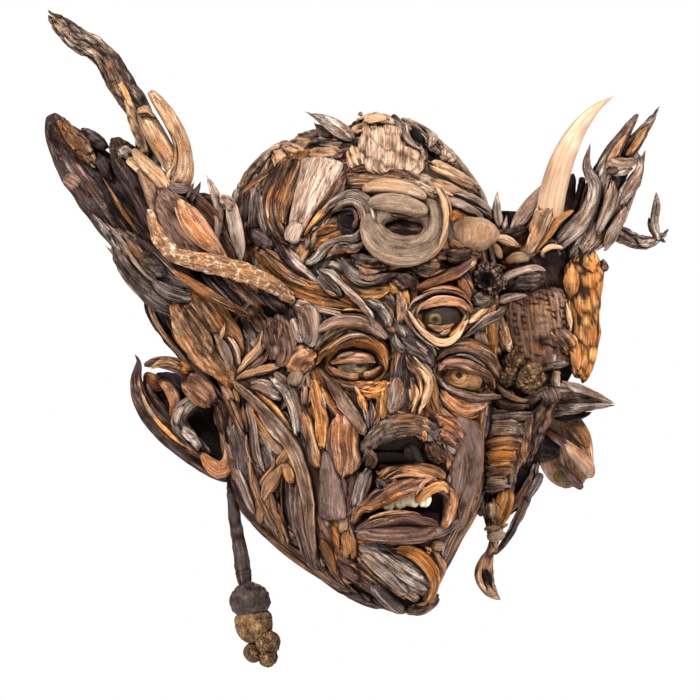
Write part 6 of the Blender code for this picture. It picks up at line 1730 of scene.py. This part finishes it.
        ("tan", ((492, 378, 142, 4, 5), (502, 392, 147, 8, 7), (518, 400, 147, 8, 7), (532, 398, 142, 4, 5)),
         ribbed),
        ("brown", ((484, 400, 142, 5, 6), (494, 412, 146, 9, 7), (512, 417, 147, 10, 7), (528, 414, 142, 6, 6)),
         ribbed),
        ("bark", ((482, 418, 142, 9, 8), (498, 419, 151, 16, 10), (516, 417, 151, 14, 10),
                  (532, 414, 144, 8, 8)), chunk, {"tint": 0.3}),
        ("bark", ((481, 430, 144, 10, 8), (497, 428, 152, 18, 11), (513, 428, 153, 19, 11),
                  (527, 430, 146, 10, 8)), chunk, {"tint": 0.6}),
        ("brown", ((480, 443, 144, 10, 8), (496, 441, 152, 18, 11), (512, 440, 152, 18, 11),
                   (524, 442, 146, 9, 8)), chunk, {"tint": 0.7}),
        ("orange", ((480, 458, 142, 10, 8), (493, 456, 151, 19, 11), (507, 455, 151, 20, 11),
                    (518, 457, 144, 10, 8)), chunk, {"tint": 0.4}),
        ("brown", ((479, 471, 140, 10, 8), (491, 470, 149, 18, 11), (505, 469, 149, 17, 11),
                   (515, 470, 142, 9, 8)), chunk, {"tint": 0.8}),
        ("bark", ((478, 484, 138, 10, 8), (489, 484, 146, 18, 11), (501, 483, 146, 17, 11),
                  (511, 484, 140, 9, 8)), chunk, {"tint": 0.7}),
        ("orange", ((506, 482, 140, 10, 8), (505, 498, 141, 19, 10), (500, 514, 136, 18, 9),
                    (494, 528, 128, 9, 7)), chunk, {"tint": 0.5}),
        ("tan", ((490, 496, 138, 8, 7), (493, 508, 140, 15, 9), (492, 522, 132, 9, 7)), chunk, {"tint": 0.5}),
        # a dark piece between the chunks, painted half in shade
        ("dark", ((481, 492, 138, 8, 7), (480, 504, 138, 13, 8), (484, 520, 132, 10, 7)), barky, {"dusk": 0.5}),
        ("tan", ((484, 532, 126, 9, 7), (497, 529, 131, 14, 9), (509, 525, 128, 8, 7)), chunk, {"tint": 0.7}),
        ("stone", ((486, 537, 128, 7, 6), (496, 536, 132, 11, 8), (506, 533, 128, 6, 6)), smooth,
         {"tint": 0.5}),
        ("brown", ((532, 408, 138, 8, 8), (526, 430, 138, 13, 11), (524, 452, 134, 12, 10),
                   (520, 470, 128, 7, 7)), barky),
        ("dark", ((534, 470, 120, 6, 6), (526, 486, 122, 10, 9), (514, 504, 120, 9, 8), (504, 520, 118, 5, 6)),
         ribbed),
        ("dark", ((542, 424, 104, 6, 6), (552, 434, 107, 9, 8), (564, 444, 107, 10, 8), (574, 454, 105, 8, 7)),
         ribbed),
        ("tan", ((554, 436, 105, 5, 6), (566, 444, 106, 9, 7), (578, 456, 106, 14, 8), (588, 468, 105, 16, 9),
                 (592, 478, 102, 10, 8)), polished, {"tint": 0.35, "ends": (2.2, 4)}),
        ("brown", ((566, 424, 101, 8, 5), (580, 432, 101, 16, 5), (589, 448, 99, 9, 5)), smooth, {"tint": 0.6}),
        ("brown", ((560, 466, 98, 6, 5), (572, 478, 100, 12, 6), (584, 490, 98, 8, 6)), smooth, {"tint": 0.2}),
        ("tan", ((498, 528, 114, 8, 7), (495, 544, 117, 9, 8), (491, 558, 117, 10, 8)), barky, {"tint": 0.5}),
        # painted shade: a dark slip in a gap of the pendant
        ("dark", ((486, 568, 120, 3, 4), (488, 577, 121, 7, 5), (492, 588, 119, 3, 4)), smooth, {"dusk": 1.0}),
        ("tan", ((481, 566, 117, 4, 5), (479, 578, 118, 6, 6), (486, 592, 116, 4, 5)), polished, {"tint": 0.9}),
        ("grey", ((542, 472, 122, 10, 9), (536, 484, 122, 10, 9), (526, 500, 120, 8, 8)), smooth),
    ))


# Short split strips under all the rest, so that no bare mass shows between the pieces

fill = {
    "woods": ("dark", "brown", "brown", "grey", "grey", "orange", "bark", "lip", "tan", "brown"),
    "thick": (3.5, 5.5),
    "farthestBack": -0.014,
}
faceFill = {
    "count": 300, "levels": (132, 600), "wide": (12, 22), "long": (56, 120),
    "shares": (0.7, 0.9, 1, 1, 1, 0.9, 0.7),
    "longestStep": 0.035,  # a longer one would leap over a hollow
    "clear": ((402, 470), (30, 42)),  # middle and reach of the nose and mouth, where nothing is laid
}
sideFill = {
    "count": 330, "levels": (132, 598), "wide": (13, 24), "long": (40, 96), "shares": (0.5, 1, 1, 0.4),
    "turns": (1.0, 2.2), "crown": 300, "slants": (50, 24), "kept": (130, 604),
}


def fillStrips():
    field = np.array(flows)
    groups = {}

    def addFill(number, rows, over, mesh):
        wood = fill["woods"][int(rng.integers(len(fill["woods"])))]
        # fill strips lie under the rest, so each is painted a little in shade
        piece = grow(f"fill_{number}", woods[wood], rows, follow=True, mesh=mesh, over=over, ends=(3.6, 2.6),
                     groove=0.8, grooveSize=2.8, grooveRun=14, dusk=0.22, jag=(3, 3))
        groups.setdefault(wood, []).append(piece)

    for number in range(faceFill["count"]):  # over the face, along with the strips that lie there
        level = rng.uniform(*faceFill["levels"])
        half = math.sqrt(max(np.interp(level, levelCurve[:, 0], levelCurve[:, 2]), 0))
        middle = np.interp(level, levelCurve[:, 0], levelCurve[:, 1])
        start = np.array((middle + rng.uniform(-0.9, 1.0) * half, level))
        reach = rng.uniform(*faceFill["long"])
        path = [start]
        for way in (-1, 1):
            spot, before = start, None
            for step in range(3):
                near = np.argsort(np.sum((field[:, :2] - spot) ** 2, axis=1))[:4]
                heading = field[near, 2:]
                heading = heading * np.sign(heading @ heading[0])[:, None]
                heading = heading.sum(axis=0) / (np.linalg.norm(heading.sum(axis=0)) + 1e-9)
                lead = before if before is not None else np.array((heading[0], abs(heading[1]))) * way
                heading = heading * (1 if heading @ lead >= 0 else -1)
                heading = heading if before is None else (heading + before) / np.linalg.norm(heading + before)
                spot, before = spot + heading * reach / 6, heading
                path = [*path, spot] if way > 0 else [spot, *path]
        inside = ((np.array(path) - faceFill["clear"][0]) / faceFill["clear"][1]) ** 2
        if inside.sum(axis=1).min() < 1:
            continue
        spots = np.array([onHead(*spot)[0] for spot in path])
        longest = np.linalg.norm(np.diff(spots, axis=0), axis=1).max()
        if spots[:, 1].max() > fill["farthestBack"] or longest > faceFill["longestStep"]:
            continue
        wide = rng.uniform(*faceFill["wide"]) * unit
        thick = rng.uniform(*fill["thick"]) * mm
        rows = [(*spot, wide * share, thick) for spot, share in zip(spots, faceFill["shares"])]
        addFill(number, rows, rng.uniform(0, 1.2), mesh=2.2)
    for number in range(sideFill["count"]):  # round the sides, which the photograph does not show
        turn = rng.choice((-1, 1)) * rng.uniform(*sideFill["turns"])
        level = rng.uniform(*sideFill["levels"])
        high = level < sideFill["crown"]
        slant = math.radians(sideFill["slants"][0 if high else 1])
        slant = slant * (1 if turn > 0 else -1) * (1 if high else -1)
        slant = slant + rng.normal(0, 0.25)
        reach = rng.uniform(*sideFill["long"])
        widest = np.interp(level, levelCurve[:, 0], np.sqrt(np.maximum(levelCurve[:, 2], 0))) + 30
        steps = np.linspace(-0.5, 0.5, 4)
        turns = turn + steps * reach * math.sin(slant) / widest + rng.normal(0, 0.12) * (steps ** 2 - 0.25)
        spots = headSurface(turns, np.clip(level + steps * reach * math.cos(slant), *sideFill["kept"]))
        if spots[:, 1].max() > fill["farthestBack"]:
            continue
        wide = rng.uniform(*sideFill["wide"]) * unit
        thick = rng.uniform(*fill["thick"]) * mm
        rows = [(*spot, wide * share, thick) for spot, share in zip(spots, sideFill["shares"])]
        addFill(1000 + number, rows, rng.uniform(0, 1.5), mesh=3.0)
    joinGroups("fill", groups)
    print("fill strips laid")


# Painted shade between the pieces: darker where a vertex has others close in front of it

gaps = {"reach": 9, "start": 0.35, "tilt": 52, "ways": 4, "strength": 0.85, "facing": 0.3}


def paintGapShade():
    shape = bmesh.new()
    for piece in madePieces:
        shape.from_mesh(piece.data)
    tree = BVHTree.FromBMesh(shape)
    shape.free()
    reach = gaps["reach"] * mm
    tilt = math.radians(gaps["tilt"])
    for piece in madePieces:
        hollow = painted(piece, "hollow")
        normals = np.empty(len(hollow) * 3, dtype=np.float32)
        piece.data.vertices.foreach_get("normal", normals)
        normals = normals.reshape(-1, 3).astype(float)
        seen = np.flatnonzero(normals[:, 1] < gaps["facing"])
        normals = normals[seen]
        starts = placesOf(piece)[seen] + normals * gaps["start"] * mm
        sides = np.cross(normals, (0.3, 0.2, 1.0))
        sides /= np.linalg.norm(sides, axis=1)[:, None] + 1e-9
        ups = np.cross(normals, sides)
        shade = np.zeros(len(seen))
        for number in range(gaps["ways"] + 1):
            turn = 2 * math.pi * number / gaps["ways"]
            aim = normals * math.cos(tilt) + (sides * math.cos(turn) + ups * math.sin(turn)) * math.sin(tilt)
            aim = normals if number == gaps["ways"] else aim
            for at, (spot, way) in enumerate(zip(starts.tolist(), aim.tolist())):
                distance = tree.ray_cast(spot, way, reach)[3]
                if distance is not None:
                    shade[at] += 1 - distance / reach
        hollow[seen] = np.clip(hollow[seen] + shade / (gaps["ways"] + 1) * gaps["strength"], 0, 1)
        repaint(piece, "hollow", hollow)
    print("gaps darkened")


dressHead()
print("head dressed")
makeEyes()
makeNoseAndMouth()
makeCheeks()
makeForehead()
makeSkull()
makeLeftCluster()
makeLeftEar()
makeRightCluster()
print("named pieces made")
fillStrips()
paintGapShade()


# Stage, lights and camera

studio = {
    "sky": (1.0, 1.0, 1.0, 1), "skyStrength": 1.0, "roomStrength": 0.16,
    "target": (-0.02, -0.05, 0.0),
    "floorLevel": -0.62, "floorSize": 14, "floorTone": tone(236, 236, 237), "floorGlow": 0.3,
}
lights = {  # place, size and power
    "key_light": ((-1.6, -2.2, 2.1), 0.6, 275),
    "side_light": ((2.0, -1.9, 1.7), 0.7, 195),
    "back_light": ((0.6, 2.6, 1.2), 1.2, 60),
}
for name, (spot, size, power) in lights.items():
    light = bpy.data.lights.new(name, "AREA")
    light.shape = "DISK"
    light.size = size
    light.energy = power
    lamp = bpy.data.objects.new(name, light)
    bpy.context.collection.objects.link(lamp)
    lamp.location = spot
    lamp.rotation_euler = (Vector(studio["target"]) - Vector(spot)).to_track_quat("-Z", "Y").to_euler()

bpy.ops.mesh.primitive_plane_add(size=studio["floorSize"], location=(0, -2, studio["floorLevel"]))
floor = bpy.context.object
floor.name = "floor"
floorMaker = FinishMaker(bpy.data.materials.new("pale_floor"))
floor.data.materials.append(floorMaker.surface(
    studio["floorTone"], 0.8, Emission_Color=studio["floorTone"], Emission_Strength=studio["floorGlow"]))

scene = bpy.context.scene
world = bpy.data.worlds.new("pale_room")
scene.world = world
room = FinishMaker(world)  # the backdrop is white, the light in the room is softer
lit, seen = (room.node("ShaderNodeBackground", None, {"Color": studio["sky"], "Strength": strength}).outputs[0]
             for strength in (studio["roomStrength"], studio["skyStrength"]))
straightOn = room.node("ShaderNodeLightPath").outputs["Is Camera Ray"]
blend = room.node("ShaderNodeMixShader", None, {0: straightOn, 1: lit, 2: seen})
room.node("ShaderNodeOutputWorld", None, {"Surface": blend.outputs[0]})
scene.view_settings.view_transform = "Standard"

view = {"middle": 350, "level": 350, "seen": 700, "distance": 5.0, "sharpAt": -0.08, "sensor": 36}
camera = bpy.data.cameras.new("camera")
cameraObject = bpy.data.objects.new("camera", camera)
bpy.context.collection.objects.link(cameraObject)
cameraObject.location = ((view["middle"] - sheet["middle"]) * unit, view["sharpAt"] - view["distance"],
                         (sheet["level"] - view["level"]) * unit)
cameraObject.rotation_euler = (math.radians(90), 0, 0)
camera.sensor_width = view["sensor"]
camera.lens = view["sensor"] * view["distance"] / (view["seen"] * unit)
camera.clip_end = 50
scene.camera = cameraObject
print("stage set")

total = 0
for piece in madePieces:
    piece.data.calc_loop_triangles()
    total += len(piece.data.loop_triangles)
print("pieces", len(madePieces), "triangles", total)
